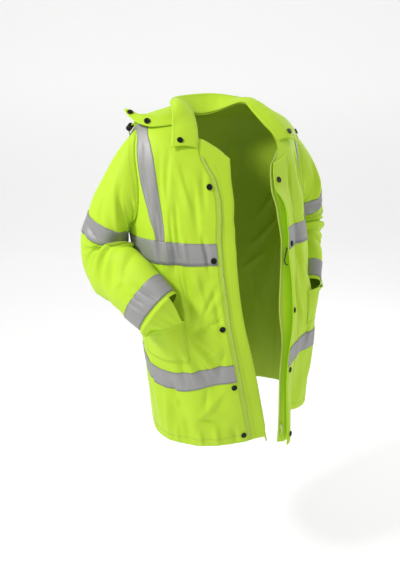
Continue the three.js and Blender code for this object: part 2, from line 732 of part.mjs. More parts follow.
function sleeveRelief(share, stop, length, angle) {
  let out = 0;
  for (const f of SLEEVE_FOLDS) {
    let off = THREE.MathUtils.radToDeg(angle) - f.angle;
    off -= 360 * Math.round(off / 360);
    const round = Math.exp(-((off / f.reach) ** 2));
    out += f.depth * round * Math.exp(-((((share - f.share) * length) / f.width) ** 2));
  }
  return out * smooth(stop / SLEEVE_BLEND);
}

for (const [name, side] of Object.entries(SIDES)) {
  const made = sleeveOf(side, side.sign < 0 ? 0 : BACK_LAST);
  side.sleeveSheet = made.sheet;
  // At the armhole the wall never reaches back over the panel.
  const bend = (way, r) => {
    if (r === 0 && way.x * side.sign < 0) way.x = 0;
    return way;
  };
  add("sleeve_" + name, wall(made.sheet, -CLOTH, 0, bend), LIME);
  const rings = { upper: 4, cuff: made.stops.length - 4 };
  for (const [tape, ring] of Object.entries(rings)) {
    const strip = { ...cut(made.sheet, [ring, ring + 2], [0, PIT_ROW * 2]), closed: true };
    addTapeWall("sleeve_tape_" + tape + "_" + name, strip, SEAM_GAP);
  }
}

// The collar stands on the neckline, from the top of one front to the top of the other.
const COLLAR_ROWS = 3;
const COLLAR_COLUMNS = 24;
const neckOf = (side) => side.front.points[0].slice(0, FRONT_COLUMNS.neck + 1);
const neckBack = back.points[0].slice(frontLast - FRONT_COLUMNS.neck, BACK_LAST - 8);
const neckCurve = new THREE.CatmullRomCurve3(
  [...neckOf(SIDES.right), ...neckBack.slice(1, -1), ...neckOf(SIDES.left).reverse()],
  false,
  "centripetal",
);

function collarPoint(share, high) {
  const edge = between(COLLAR_EDGE, "share", share);
  const base = neckCurve.getPointAt(share);
  base.z += 2.4;
  const at = base.lerp(new THREE.Vector3(edge.x, edge.y, edge.z), high);
  at.z += edge.roll * Math.sin(Math.PI * high);
  return at;
}
const collar = sheetOf(
  Array.from({ length: COLLAR_ROWS + 1 }, (_, r) =>
    Array.from({ length: COLLAR_COLUMNS + 1 }, (_, c) =>
      collarPoint(c / COLLAR_COLUMNS, r / COLLAR_ROWS))),
);
add("collar", wall(collar, -CLOTH / 2, CLOTH / 2), LIME);

const HOOD_ROWS = 10;
const HOOD_COLUMNS = 24;
function hoodSheet() {
  const bySpot = HOOD_STATIONS.map((share) => HOOD_SECTIONS.filter((p) => p.share === share));
  const rows = [];
  for (let r = 0; r <= HOOD_ROWS; r++) {
    const ribs = bySpot.map((section) => between(section, "row", (5 * r) / HOOD_ROWS));
    const row = [];
    for (let c = 0; c <= HOOD_COLUMNS; c++) {
      const spot = between(ribs, "share", c / HOOD_COLUMNS);
      const { point, out } = body(spot.angle, spot.level);
      row.push(point.addScaledVector(out, spot.lift));
    }
    rows.push(row);
  }
  return sheetOf(rows);
}
const hood = hoodSheet();
add("hood", wall(hood, -CLOTH / 2, CLOTH / 2), LIME);

// Strips beside the zip edge of a front. Each row runs between two angles.
function strip(side, rows, columns, anglesAt, liftAt) {
  const spots = rows.map((level) => {
    const l = between(side.lines, "level", Math.max(level, LEVELS[0]));
    const [from, to] = anglesAt(l, level);
    return Array.from({ length: columns + 1 }, (_, c) => {
      const share = c / columns;
      const at = body(side.sign * mix(from, to, share), level);
      at.point.addScaledVector(at.out, liftAt(share, level));
      return at;
    });
  });
  return {
    points: spots.map((row) => row.map((spot) => spot.point)),
    normals: spots.map((row) => row.map((spot) => spot.out)),
    closed: false,
  };
}
const degreesFor = (mm) => mm / 4.1; // near the middle of the front
// The zip starts one row under the neckline. Its rows are the panel's rows.
const zipStarts = [1, 2].map((r) => mix(NECKLINE[0].level, LEVELS[0], r / SHOULDER_ROWS));
const zipRows = [...zipStarts, ...LEVELS];
const zipEdge = (side, l, level) => {
  const up = THREE.MathUtils.clamp((LEVELS[0] - level) / (LEVELS[0] - NECKLINE[0].level), 0, 1);
  return mix(l.edge, NECKLINE[0][side.name], up);
};

for (const [name, side] of Object.entries(SIDES)) {
  const zip = strip(side, zipRows, 1, (l, level) => {
    const edge = zipEdge(side, l, level) - degreesFor(SEAM_GAP + 0.1);
    return [edge, edge - degreesFor(ZIP_WIDTH)];
  }, () => 0);
  add("zip_" + name, wall(inset(zip, { bottom: 1 }), -1.5, 0.5), LIME);
}

// The inner storm flap is sewn behind the right zip edge and reaches over the opening.
const INNER_FLAP_TOP = table(
  ["share", "angle", "level"],
  [
    [0, 39, 74],
    [0.35, 31, 70],
    [0.7, 19, 80],
    [1, 10, 104],
  ],
);
const INNER_FLAP_DEPTH = CLOTH + 0.8;
function innerFlap() {
  const side = SIDES.right;
  const columns = 4;
  const under = degreesFor(13);
  const sheet = strip(side, LEVELS, columns, (l) => [l.edge + under, l.flap],
    () => -INNER_FLAP_DEPTH);
  const top = [];
  for (let c = 0; c <= columns; c++) {
    const t = between(INNER_FLAP_TOP, "share", c / columns);
    const at = body(-t.angle, t.level);
    at.point.addScaledVector(at.out, -INNER_FLAP_DEPTH);
    top.push(at);
  }
  sheet.points.unshift(top.map((at) => at.point));
  sheet.normals.unshift(top.map((at) => at.out));
  return sheet;
}
const innerStormFlap = innerFlap();
add("storm_flap_inner", wall(innerStormFlap, -CLOTH, 0), LIME);

// The outer storm flap is sewn on the left front, covers the zip and stands off it.
const OUTER_FLAP_LIFT = 1.1;
const OUTER_FLAP_COLUMN = 3; // column of the front panel along which it is sewn
function outerFlap() {
  const side = SIDES.left;
  const share = (OUTER_FLAP_COLUMN * FRONT_COLUMNS.neck) /
    (FRONT_COLUMNS.neck * (FRONT_COLUMNS.neck + FRONT_COLUMNS.shoulder));
  return strip(side, LEVELS, 4, (l) => [mix(l.edge, l.tapeIn, share) - 0.5, l.flap],
    (share, level) => {
      const open = 5 + 17 * smooth((level - 190) / 90) * (1 - 0.3 * smooth((level - 560) / 200));
      return OUTER_FLAP_LIFT + open * share ** 1.7;
    });
}
const outerStormFlap = sheetOf(outerFlap().points, { flip: true });
add("storm_flap_outer", wall(outerStormFlap, 0, CLOTH), LIME);
for (const [band, level] of Object.entries(bands)) {
  const first = LEVELS.indexOf(level);
  const last = LEVELS.indexOf(level + TAPE_WIDTH);
  const tape = inset(cut(outerStormFlap, [first, last], [0, 4]), tapeEdges);
  addTapeWall(band + "_tape_flap", tape, CLOTH + SEAM_GAP);
}

// Pockets: patches on the fronts whose mouths stand open around the cuffs.
const POCKET = {
  rows: [rowOf(492), rowOf(590)],
  columns: [FRONT_COLUMNS.neck + 2, frontLast - 1],
};
const POCKET_SWELL = table(
  ["side", "depth", "peak", "lean", "flapFrom"],
  [
    ["right", 44, 0.36, 1.2, 0.04],
    ["left", 22, 0.36, 1.2, 0.35],
  ],
);
for (const swell of POCKET_SWELL) {
  const side = SIDES[swell.side];
  const patch = cut(side.front, POCKET.rows, POCKET.columns);
  const shaped = raised(patch, (down, across) => {
    const peak = across < swell.peak
      ? across / swell.peak
      : (1 - across) / (1 - swell.peak);
    return SEAM_GAP + swell.depth * smooth(peak) * (1 - down) ** swell.lean;
  });
  side.pocket = { points: shaped.points, normals: patch.normals, closed: false };
  side.flapFrom = swell.flapFrom;
  const cutOut = inset(side.pocket, { top: 4, first: 1, last: 1 });
  add("pocket_" + swell.side, wall(cutOut, 0.2, 0.2 + CLOTH), LIME);
}

// Pocket flaps, pushed up and bunched between the outside of a cuff and the pocket's rim. Rows:
// how far from the cuff (0) to the rim (1), the height over the two, and how far past the cuff.
const POCKET_FLAP = table(
  ["share", "lift", "wave", "ahead"],
  [
    [0, 3.2, 0, -4],
    [0, 5, 0.6, 6],
    [0.4, 6, 2.5, 12],
    [0.75, 7, 4, 6],
    [1, 5, 2.4, 0],
  ],
);
const FLAP_WAVES = 5;
const FLAP_COLUMNS = 14;
const CUFF_REACH = 5; // columns of the sleeve on either side of the flap's middle
for (const side of Object.values(SIDES)) {
  const { points, normals } = side.sleeveSheet;
  const last = points.length - 1;
  const count = points[0].length;
  const rows = POCKET_FLAP.map(({ share, lift, wave, ahead }) => {
    const row = { points: [], normals: [] };
    for (let c = 0; c <= FLAP_COLUMNS; c++) {
      const t = c / FLAP_COLUMNS;
      const turn = mix(CUFF_REACH, -CUFF_REACH, t) + count;
      const i = Math.floor(turn);
      const cuffAt = (grid, r) =>
        grid[r][i % count].clone().lerp(grid[r][(i + 1) % count], turn - i);
      const cuff = cuffAt(points, last);
      const onwards = cuff.clone().sub(cuffAt(points, last - 1)).normalize();
      cuff.addScaledVector(onwards, ahead);
      const rim = spotOn(side.pocket, 0.06, mix(side.flapFrom, 0.92, t));
      const way = cuffAt(normals, last).normalize().lerp(rim.out, share).normalize();
      const ripple = wave * Math.sin(t * Math.PI * FLAP_WAVES + share * 1.3);
      row.points.push(cuff.lerp(rim.point, share).addScaledVector(way, lift + ripple));
      row.normals.push(way);
    }
    return row;
  });
  const flap = {
    points: rows.map((row) => row.points),
    normals: rows.map((row) => row.normals),
    closed: false,
  };
  add("pocket_flap_" + side.name, wall(flap, 0, CLOTH), LIME);
}

// A snap: a low round cap, its axis on the surface's outward direction.
function addSnap(name, at, out, lift) {
  const r = SNAP_RADIUS;
  const h = SNAP_HEIGHT;
  const profile = [
    [0, 0], [r - 0.6, 0], [r, 0.8], [r - 0.8, h - 0.7], [r - 3, h], [0, h - 0.5],
  ].map(([x, y]) => new THREE.Vector2(x, y));
  const mesh = add(name, new THREE.LatheGeometry(profile, 10), BLACK, 0.4);
  mesh.quaternion.setFromUnitVectors(new THREE.Vector3(0, 1, 0), out);
  mesh.position.copy(at).addScaledVector(out, lift);
  return mesh;
}

// A point of a sheet at shares of its rows and columns.
function spotOn(sheet, down, across) {
  const rows = sheet.points.length - 1;
  const cols = sheet.points[0].length - 1;
  const r = Math.min(Math.floor(down * rows), rows - 1);
  const c = Math.min(Math.floor(across * cols), cols - 1);
  const [v, u] = [down * rows - r, across * cols - c];
  const at = (grid) => grid[r][c].clone().lerp(grid[r][c + 1], u)
    .lerp(grid[r + 1][c].clone().lerp(grid[r + 1][c + 1], u), v);
  return { point: at(sheet.points), out: at(sheet.normals).normalize() };
}

const rowShare = (level) => {
  let i = 0;
  while (i < LEVELS.length - 2 && level > LEVELS[i + 1]) i++;
  return (i + (level - LEVELS[i]) / (LEVELS[i + 1] - LEVELS[i])) / (LEVELS.length - 1);
};
SNAP_LEVELS.forEach((level, i) => {
  const l = between(RIGHT_LINES, "level", level);
  const right = body(-(l.edge + degreesFor(10)), level);
  const onTape = level > WAIST_TAPE_TOP && level < WAIST_TAPE_TOP + TAPE_WIDTH;
  addSnap("snap_right_" + (i + 1), right.point, right.out, onTape ? TAPE + 1 : 0.8);
  const left = spotOn(outerStormFlap, rowShare(level), 0.74);
  addSnap("snap_left_" + (i + 1), left.point, left.out, CLOTH + (onTape ? TAPE + 1 : 0.5));
});
// On the collar and hood the snaps show on the side that faces the wearer when it is done up.
const looseSnaps = {
  collar_right: [collar, 0.68, 0.035, 0.6],
  collar_left: [collar, 0.7, 0.965, 0.8],
  hood_right_1: [hood, 0.62, 0.02, 1.1],
  hood_right_2: [hood, 0.9, 0.025, 1.4],
  hood_left: [hood, 0.86, 0.975, 0.9],
};
for (const [name, [sheet, down, across, high]] of Object.entries(looseSnaps)) {
  const spot = spotOn(sheet, down, across);
  addSnap("snap_" + name, spot.point, spot.out.negate(), CLOTH / 2 + high);
}

// Cords. Each runs through spots given as angle, level and height over the body.
function cordThrough(spots, radius) {
  const points = spots.map(([angle, level, high]) => {
    const at = body(angle, level);
    return at.point.addScaledVector(at.out, high);
  });
  const line = new THREE.CatmullRomCurve3(points, false, "centripetal");
  return { line, shape: closedTube(line, radius, 10, 8) };
}

// A round tube with flat ends.
function closedTube(line, radius, steps, sides) {
  const frames = line.computeFrenetFrames(steps, false);
  const corners = [];
  for (let i = 0; i <= steps; i++) {
    const p = line.getPointAt(i / steps);
    for (let k = 0; k < sides; k++) {
      const turn = (2 * Math.PI * k) / sides;
      const q = p.clone().addScaledVector(frames.normals[i], radius * Math.cos(turn))
        .addScaledVector(frames.binormals[i], radius * Math.sin(turn));
      corners.push(q.x, q.y, q.z);
    }
  }
  const faces = [];
  for (let i = 0; i < steps; i++)
    for (let k = 0; k < sides; k++) {
      const [a, b] = [i * sides + k, i * sides + ((k + 1) % sides)];
      faces.push(a, b, b + sides, a, b + sides, a + sides);
    }
  const end = steps * sides;
  for (let k = 1; k < sides - 1; k++) faces.push(0, k + 1, k, end, end + k, end + k + 1);
  return facingOut(corners, faces);
}

const CORD_RADIUS = 1.5;
const hoodCord = cordThrough(HOOD_CORD, CORD_RADIUS);
add("hood_cord", hoodCord.shape, LIME);
add("waist_cord", cordThrough(WAIST_CORD, CORD_RADIUS).shape, BLACK, 0.7);

// The cord lock is a round barrel with a hole along the cord.
const LOCK = { radius: 7, length: 18, hole: CORD_RADIUS + 2.2, at: 0.58 };
const lockProfile = [
  [LOCK.hole, -0.5], [LOCK.radius - 1.5, -0.5], [LOCK.radius, -0.35], [LOCK.radius, 0.35],
  [LOCK.radius - 1.5, 0.5], [LOCK.hole, 0.5], [LOCK.hole, -0.5],
].map(([r, y]) => new THREE.Vector2(r, y * LOCK.length));
const lock = add("cord_lock", new THREE.LatheGeometry(lockProfile, 14), BLACK, 0.5);
lock.position.copy(hoodCord.line.getPointAt(LOCK.at));
lock.quaternion.setFromUnitVectors(
  new THREE.Vector3(0, 1, 0), hoodCord.line.getTangentAt(LOCK.at),
);

// The zip slider near the bottom of the left zip half, and its pull tab.
const SLIDER = { level: 806, wide: 9, tall: 13, thick: 4.5, corner: 2, lift: 2.2 };
const PULL = { wide: 7, tall: 23, thick: 1.6, hole: 1.6, gap: 0.9, top: 1.2 };
const sliderLines = between(LEFT_LINES, "level", SLIDER.level);
const sliderSpot = body(sliderLines.edge - degreesFor(ZIP_WIDTH * 0.6), SLIDER.level);
const across = new THREE.Vector3(1, 0.18, 0);
across.addScaledVector(sliderSpot.out, -across.dot(sliderSpot.out)).normalize();
const upwards = sliderSpot.out.clone().cross(across);
const sliderFrame = new THREE.Matrix4().makeBasis(across, upwards, sliderSpot.out);

function roundedPlate({ wide, tall, thick, corner, hole = 0, below = 0 }) {
  const [x, y0, y1] = [wide / 2, -tall + below, below];
  const outline = new THREE.Shape();
  outline.moveTo(-x + corner, y0);
  outline.lineTo(x - corner, y0);
  outline.quadraticCurveTo(x, y0, x, y0 + corner);
  outline.lineTo(x, y1 - corner);
  outline.quadraticCurveTo(x, y1, x - corner, y1);
  outline.lineTo(-x + corner, y1);
  outline.quadraticCurveTo(-x, y1, -x, y1 - corner);
  outline.lineTo(-x, y0 + corner);
  outline.quadraticCurveTo(-x, y0, -x + corner, y0);
  if (hole) {
    const opening = new THREE.Path();
    opening.absellipse(0, y0 + hole * 2.4, hole, hole, 0, 2 * Math.PI);
    outline.holes.push(opening);
  }
  return new THREE.ExtrudeGeometry(outline, { depth: thick, bevelEnabled: false, curveSegments: 5 });
}
function onSlider(mesh, up, out) {
  mesh.setRotationFromMatrix(sliderFrame);
  mesh.position.copy(sliderSpot.point).addScaledVector(upwards, up)
    .addScaledVector(sliderSpot.out, out);
  return mesh;
}
onSlider(
  add("zip_slider", roundedPlate({ ...SLIDER, below: SLIDER.tall / 2 }), LIME, 0.4),
  0, SLIDER.lift,
);
onSlider(
  add("zip_pull_tab", roundedPlate({ ...PULL, corner: 2.4, below: PULL.top }), LIME, 0.4),
  2, SLIDER.lift + SLIDER.thick + PULL.gap,
);

export default jacket;
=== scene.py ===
"""A long high-visibility work jacket as it is worn: open fronts, hood laid back, sleeves bent to
the lower pockets. Sizes in the tables are millimetres; the meshes are metres."""
import math

import bmesh
import bpy
import numpy as np
from bpy.props import FloatProperty, FloatVectorProperty, IntProperty, PointerProperty
from mathutils import Matrix, Vector


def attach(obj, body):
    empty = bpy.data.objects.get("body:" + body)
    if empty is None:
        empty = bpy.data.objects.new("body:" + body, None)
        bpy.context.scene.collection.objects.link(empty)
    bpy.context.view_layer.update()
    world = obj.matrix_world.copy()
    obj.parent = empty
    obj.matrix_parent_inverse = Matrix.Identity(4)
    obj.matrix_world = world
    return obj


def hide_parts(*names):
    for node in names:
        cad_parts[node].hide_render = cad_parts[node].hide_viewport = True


bl_info = {
    "name": "Hi-vis Work Jacket",
    "version": (1, 0, 0),
    "blender": (4, 5, 0),
    "location": "View3D > Sidebar > Jacket",
    "description": "Makes the cloth, tape and trim of a long work jacket",
    "category": "Add Mesh",
}

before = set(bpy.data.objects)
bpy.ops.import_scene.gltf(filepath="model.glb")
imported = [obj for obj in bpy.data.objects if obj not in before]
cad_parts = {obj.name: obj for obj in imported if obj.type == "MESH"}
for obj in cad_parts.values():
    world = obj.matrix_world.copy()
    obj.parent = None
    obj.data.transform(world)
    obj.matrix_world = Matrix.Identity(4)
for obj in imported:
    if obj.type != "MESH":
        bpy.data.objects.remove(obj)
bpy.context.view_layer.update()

# The camera comes first: millimetres and degrees.
CAMERA = {"back": 1530, "high": 40, "turn": -30, "pitch": 19, "lens": 36.44, "shift": -0.0263}

FINE = 5  # rows and columns of the meshes for each one of the solids
CLOTH = 1.6
TAPE = 1.0
TAPE_WIDTH = 50
SEAM_GAP = 0.3
WAIST_TAPE_TOP = 312
HEM_TAPE_TOP = 616
HEM_LEVEL = 850
ZIP_WIDTH = 11
SEAM_DEGREES = 90
MM_PER_DEGREE = 3.6

# level, zSide, zFront, zBack, midX, midY, halfWidth, front, back
BODY_SECTIONS = np.array([
    [0, 0, -62, -30, 0, 0, 84, 74, 74],
    [40, -12, -84, -38, 0, 0, 125, 100, 100],
    [80, -28, -108, -54, 0, 0, 172, 124, 122],
    [120, -55, -136, -82, 0, 0, 214, 142, 138],
    [160, -98, -168, -120, 0, -3, 236, 155, 150],
    [210, -160, -214, -175, 0, -8, 244, 166, 158],
    [260, -225, -262, -232, 1, -16, 248, 174, 164],
    [310, -302, -310, -304, 2, -26, 250, 178, 166],
    [340, -340, -340, -340, 4, -32, 250, 180, 168],
    [450, -450, -450, -450, 8, -46, 252, 180, 175],
    [560, -560, -560, -560, 14, -58, 256, 178, 185],
    [700, -700, -700, -700, 16, -66, 248, 172, 190],
    [850, -850, -850, -850, 18, -70, 238, 165, 190],
], float)

# Lines down each half of the front, in degrees: level, storm flap's free edge, zip edge, inner
# and outer edge of the brace tape, armhole or side seam.
FRONT_LINES = {
    "right": np.array([
        [140, 10.5, 28, 66, 81, 84],
        [165, 11, 24, 61.5, 78, 80.5],
        [215, 11, 22, 59, 74, 76.5],
        [240, 12, 22.5, 58.5, 71.5, 76.5],
        [262, 13, 23, 58, 69, 78],
        [282, 13, 24, 57.5, 67, 82],
        [296, 13.5, 24.5, 57, 65, 90],
        [312, 14, 25, 57, 64.5, 90],
        [362, 15, 26, 56, 64, 90],
        [450, 14.5, 25, 54, 63, 90],
        [525, 13, 24, 53, 62, 90],
        [616, 9, 21, 51, 61, 90],
        [700, 5, 18, 48, 59, 90],
        [850, -1.5, 12, 44, 56, 90],
    ], float),
    "left": np.array([
        [140, 21, 22.7, 62, 81, 84],
        [165, 18, 19.7, 57, 75, 80.5],
        [215, 16.5, 17.7, 53, 69, 76.5],
        [240, 17.5, 18.2, 51, 66.5, 76.5],
        [262, 18, 18.7, 50, 65.5, 78],
        [282, 18, 18.7, 49.5, 64.5, 82],
        [296, 17.5, 18.7, 49, 64, 90],
        [312, 17, 18.7, 49, 64, 90],
        [362, 15.2, 17.7, 48, 63, 90],
        [450, 16, 14.7, 46, 62, 90],
        [525, 14.8, 12.4, 45, 61, 90],
        [616, 12, 13.9, 44, 60, 90],
        [700, 10.8, 12, 43, 59, 90],
        [850, 9.4, 9.5, 42, 56, 90],
    ], float),
}
# level, side, tapeOut, tapeIn
BACK_LINES = np.array([
    [140, 97, 100, 118],
    [165, 104, 107, 124],
    [215, 111, 114, 131],
    [240, 112, 115, 132],
    [262, 110, 115, 132],
    [282, 103, 115, 132],
    [296, 90, 115, 132],
    [312, 90, 115, 132],
    [362, 90, 115, 131],
    [850, 90, 114, 130],
], float)
# share, angle on the right, angle on the left, level
NECKLINE = np.array([[0, 34, 39, 105], [0.35, 42, 46, 54], [0.68, 61, 63, 12], [1, 90, 90, 0]])
SHOULDER_SEAM = [0, 72, 121, 124]
SHOULDER_ROWS = 3
PIT_LEVEL = 296
LEVELS = [
    140, 165, 190, 215, 240, 262, 282, 296, 312, 337, 362, 394, 427, 460, 492, 524, 557, 590,
    616, 641, 666, 697, 728, 759, 790, 820, 850,
]
FRONT_COLUMNS = [4, 3, 2, 4]  # neck, shoulder, tape, side
BACK_COLUMNS = [3, 2, 3, 3]  # side, tape, shoulder, neck

# The largest folds, as they are in the solids: angle and level of both ends, half width, depth.
BODY_FOLDS = [
    [-57, 150, -56, 322, 11, -7], [-53, 322, -50, 478, 13, -9], [-66, 330, -62, 470, 15, 7],
    [-51, 484, -34, 560, 16, -8], [-50, 496, -40, 640, 20, 7], [-30, 380, -44, 470, 16, -6],
    [-36, 560, -30, 760, 24, -6], [-66, 590, -60, 840, 22, -7], [-82, 560, -80, 830, 18, 6],
    [-48, 700, -50, 850, 20, 6], [-40, 150, -46, 250, 20, -5], [28, 300, 34, 480, 16, -7],
    [44, 360, 62, 500, 18, -8], [36, 540, 34, 780, 22, -7], [58, 600, 50, 850, 20, 7],
    [74, 600, 80, 850, 20, -7], [110, 330, 128, 560, 22, -8], [134, 420, 146, 700, 26, 7],
    [160, 300, 168, 620, 26, -7], [172, 560, 176, 850, 26, 7], [146, 640, 140, 850, 24, -7],
    [-112, 330, -126, 540, 22, -8], [-138, 380, -150, 660, 26, 7], [-164, 320, -160, 560, 24, -6],
    [-170, 600, -164, 850, 26, -7], [-146, 660, -138, 850, 24, -6], [-104, 560, -102, 840, 20, -7],
    [102, 560, 100, 840, 20, 6],
]
BODY_DENTS = [
    [-74, 436, 60, 62, -15], [-60, 482, 46, 46, -8], [84, 480, 66, 80, -26], [98, 380, 56, 70, -8],
    [-66, 560, 60, 70, 10], [64, 560, 60, 70, 4], [36, 856, 58, 120, -40], [13, 862, 34, 130, 32],
    [44, 250, 30, 90, 7], [62, 260, 36, 90, -12],
]
# Creases that are too small for the solids: angle and level of both ends, half width on the
# first side and on the other side, depth.
BODY_CREASES = [
    # right front: from the shoulder to the underarm, and beside the brace tape
    [-73, 150, -67, 262, 9, 3, -3.4], [-50, 132, -53, 240, 9, 4, -3], [-56, 190, -54, 300, 5, 10, 2.6],
    [-44, 160, -38, 250, 12, 5, 2.2], [-34, 190, -35, 304, 11, 4, -2.6], [-60, 226, -58, 318, 8, 4, -3],
    [-47, 240, -49, 372, 6, 2.6, -4.4], [-52, 262, -54, 376, 2.6, 6, -4.4], [-62, 262, -63, 372, 7, 3, -3.6],
    [-33, 296, -32, 372, 3, 7, -3.4], [-56.5, 296, -57, 372, 5, 3, 3], [-44, 300, -45, 366, 6, 4, 2],
    [-52, 372, -48.5, 486, 14, 2.4, 5.4], [-47, 366, -46, 500, 2.4, 9, -4], [-40, 372, -36, 470, 12, 6, 2.4],
    [-43, 524, -27, 410, 10, 4, -3.4], [-46, 530, -26, 492, 9, 4, -3.2], [-40, 500, -26, 440, 5, 11, 2.6],
    [-45, 540, -30, 606, 9, 4, -3.6], [-48, 545, -38, 650, 10, 5, -3.4], [-42, 560, -32, 640, 5, 11, 2.6],
    [-55, 545, -52, 650, 9, 4, -3], [-26, 560, -30, 650, 8, 4, -2.6], [-38, 592, -23, 556, 9, 5, 2.2],
    [-52, 560, -46, 640, 4, 10, 2.4], [-27, 690, -46, 768, 12, 5, 2.8], [-27, 796, -44, 764, 10, 5, -3],
    [-64, 640, -57, 740, 8, 4, -3.6], [-70, 690, -73, 846, 8, 14, 3.6], [-56, 760, -53, 850, 9, 14, -4],
    [-34, 792, -33, 850, 10, 6, 3.4], [-22, 800, -20, 850, 8, 5, -3], [-84, 620, -80, 700, 7, 4, -3.4],
    [-45, 800, -44, 850, 7, 5, 2.6], [-64, 790, -63, 850, 6, 5, 2.6], [-30, 420, -27, 540, 7, 4, -2.4],
    [-38, 672, -40, 740, 9, 5, -2.4], [-60, 672, -62, 720, 6, 4, 2.2], [-28, 150, -29, 240, 9, 4, -2],
    # left front: down from the shoulder, and from the pocket
    [50, 150, 44, 250, 9, 4, -3], [36, 160, 30, 260, 8, 4, -2.4], [32, 330, 36, 430, 8, 4, -3.2],
    [40, 420, 60, 480, 9, 4, -3.4], [30, 520, 34, 610, 9, 4, 2.6], [46, 560, 40, 650, 9, 4, -3],
    [26, 690, 32, 800, 9, 4, -2.8], [60, 690, 56, 840, 12, 6, -3.2], [44, 740, 46, 850, 8, 12, 3.4],
    [80, 560, 76, 700, 10, 5, -3], [24, 420, 28, 560, 7, 4, -2.4], [56, 250, 44, 330, 8, 4, -2.8],
    # back: from the underarms to the middle, gathered over the waist tape, falling to the hem
    [104, 250, 132, 330, 9, 5, -3.4], [106, 300, 140, 420, 10, 5, -3.2],
    [-104, 250, -134, 340, 9, 5, -3.4], [-106, 310, -142, 410, 10, 5, -3.2],
    [150, 150, 158, 300, 12, 6, -2.6], [-152, 160, -158, 290, 12, 6, -2.8],
    [168, 380, 160, 520, 10, 6, 2.8], [-172, 400, -176, 560, 10, 6, -2.8],
    [138, 500, 134, 640, 9, 5, -3], [-134, 520, -130, 680, 9, 5, 2.8],
    [120, 600, 122, 850, 10, 14, -3.2], [-118, 620, -124, 850, 14, 10, 3.2],
    [156, 680, 152, 850, 9, 12, 3.4], [-156, 700, -154, 850, 10, 13, -3.4],
    [176, 690, 178, 850, 12, 9, -3], [96, 330, 112, 420, 8, 5, -3], [-96, 340, -114, 430, 8, 5, -3],
    [126, 430, 150, 500, 10, 5, -2.4], [-124, 440, -148, 520, 10, 5, -2.4],
    [172, 200, 150, 300, 12, 6, 2], [-170, 220, -148, 306, 12, 6, 2],
]
PUCKER_LEVELS = [WAIST_TAPE_TOP, WAIST_TAPE_TOP + TAPE_WIDTH, HEM_TAPE_TOP,
                 HEM_TAPE_TOP + TAPE_WIDTH, HEM_LEVEL - 14]

# x, y, z, across, along, turn
SLEEVES = {
    "right": np.array([
        [232, 8, -172, 70, 70, -12],
        [251, 9, -190, 66, 69, -12],
        [269, 17, -232, 60, 69, -12],
        [287, 32, -284, 57, 69, -12],
        [300, 44, -330, 57, 70, -8],
        [304, 30, -366, 56, 76, 5],
        [300, -16, -390, 54, 80, 25],
        [288, -66, -402, 50, 77, 40],
        [272, -114, -428, 45, 71, 50],
        [245, -165, -466, 40, 64, 55],
    ], float),
    "left": np.array([
        [232, 8, -172, 70, 70, -12],
        [262, 12, -186, 66, 68, -12],
        [296, 26, -224, 62, 68, -14],
        [321, 45, -272, 60, 68, -17],
        [335, 60, -320, 58, 66, -16],
        [338, 54, -366, 54, 66, -12],
        [330, 24, -410, 46, 64, 0],
        [312, -18, -460, 40, 60, 12],
        [287, -58, -518, 34, 56, 22],
    ], float),
}
SLEEVE_STEP = 3
SLEEVE_CLEAR = 4.5
SLEEVE_BLEND = 96
SLEEVE_TAPES = {"upper": 118, "cuff": 60}
SLEEVE_COUNTS = [4, 2, 9, 2, 1]
# share, angle, width, reach, depth
SLEEVE_FOLDS = [
    [0.5, 125, 60, 55, 9], [0.3, 150, 12, 80, -6], [0.4, 120, 11, 70, -7], [0.47, 105, 10, 75, 6],
    [0.53, 110, 9, 70, -10], [0.59, 115, 9, 70, 7], [0.65, 105, 10, 70, -8], [0.74, 80, 12, 60, -4],
    [0.45, -70, 14, 50, -4], [0.6, -60, 14, 60, 4], [0.82, -90, 12, 60, -4],
]
# share and angle of both ends, half width on the first side and on the other, depth
SLEEVE_CREASES = [
    [0.08, 60, 0.29, 124, 9, 4, -4], [0.06, 26, 0.22, 95, 11, 5, 2.8], [0.12, 84, 0.3, 150, 8, 3.4, -3.6],
    [0.1, 20, 0.26, 60, 9, 4, -2.8], [0.17, 70, 0.3, 100, 4, 9, 2.6],
    [0.3, 10, 0.37, 100, 7, 3, -3.8], [0.335, 20, 0.35, 110, 5, 3, 3], [0.36, 0, 0.43, 100, 7, 3, -4.4],
    [0.41, 20, 0.45, 110, 5, 3, 3.4], [0.44, 10, 0.49, 120, 6, 3, -4.6], [0.5, 0, 0.52, 110, 6, 3, 3.6],
    [0.57, 0, 0.54, 116, 6, 3, -4.6], [0.61, 10, 0.575, 110, 5, 3, 3.2], [0.65, -10, 0.6, 100, 7, 3, -4],
    [0.69, 10, 0.645, 96, 5, 4, 2.8], [0.73, 0, 0.67, 90, 7, 4, -3.4], [0.79, 30, 0.71, 110, 7, 3, -3.2],
    [0.76, 0, 0.78, 50, 6, 4, 2.2], [0.84, 60, 0.98, 80, 8, 4, -2.8], [0.86, 0, 0.99, 10, 8, 4, 2.6],
    [0.85, 30, 0.93, 36, 5, 4, -2.4], [0.2, -40, 0.4, -30, 10, 5, -2.8], [0.3, -90, 0.5, -70, 10, 5, -3],
    [0.5, -120, 0.72, -100, 9, 5, 3], [0.6, -60, 0.8, -50, 10, 5, -2.8],
    [0.1, -140, 0.3, -120, 10, 5, -2.8], [0.4, -150, 0.62, -165, 8, 4, -3.2],
    [0.8, -140, 0.97, -150, 8, 4, -2.8], [0.88, -60, 0.99, -55, 8, 4, -2.6],
]
SLEEVE_MM_PER_DEGREE = 1.1
CREASE_DEPTH = 2.1  # the creases of body and sleeves against their tables

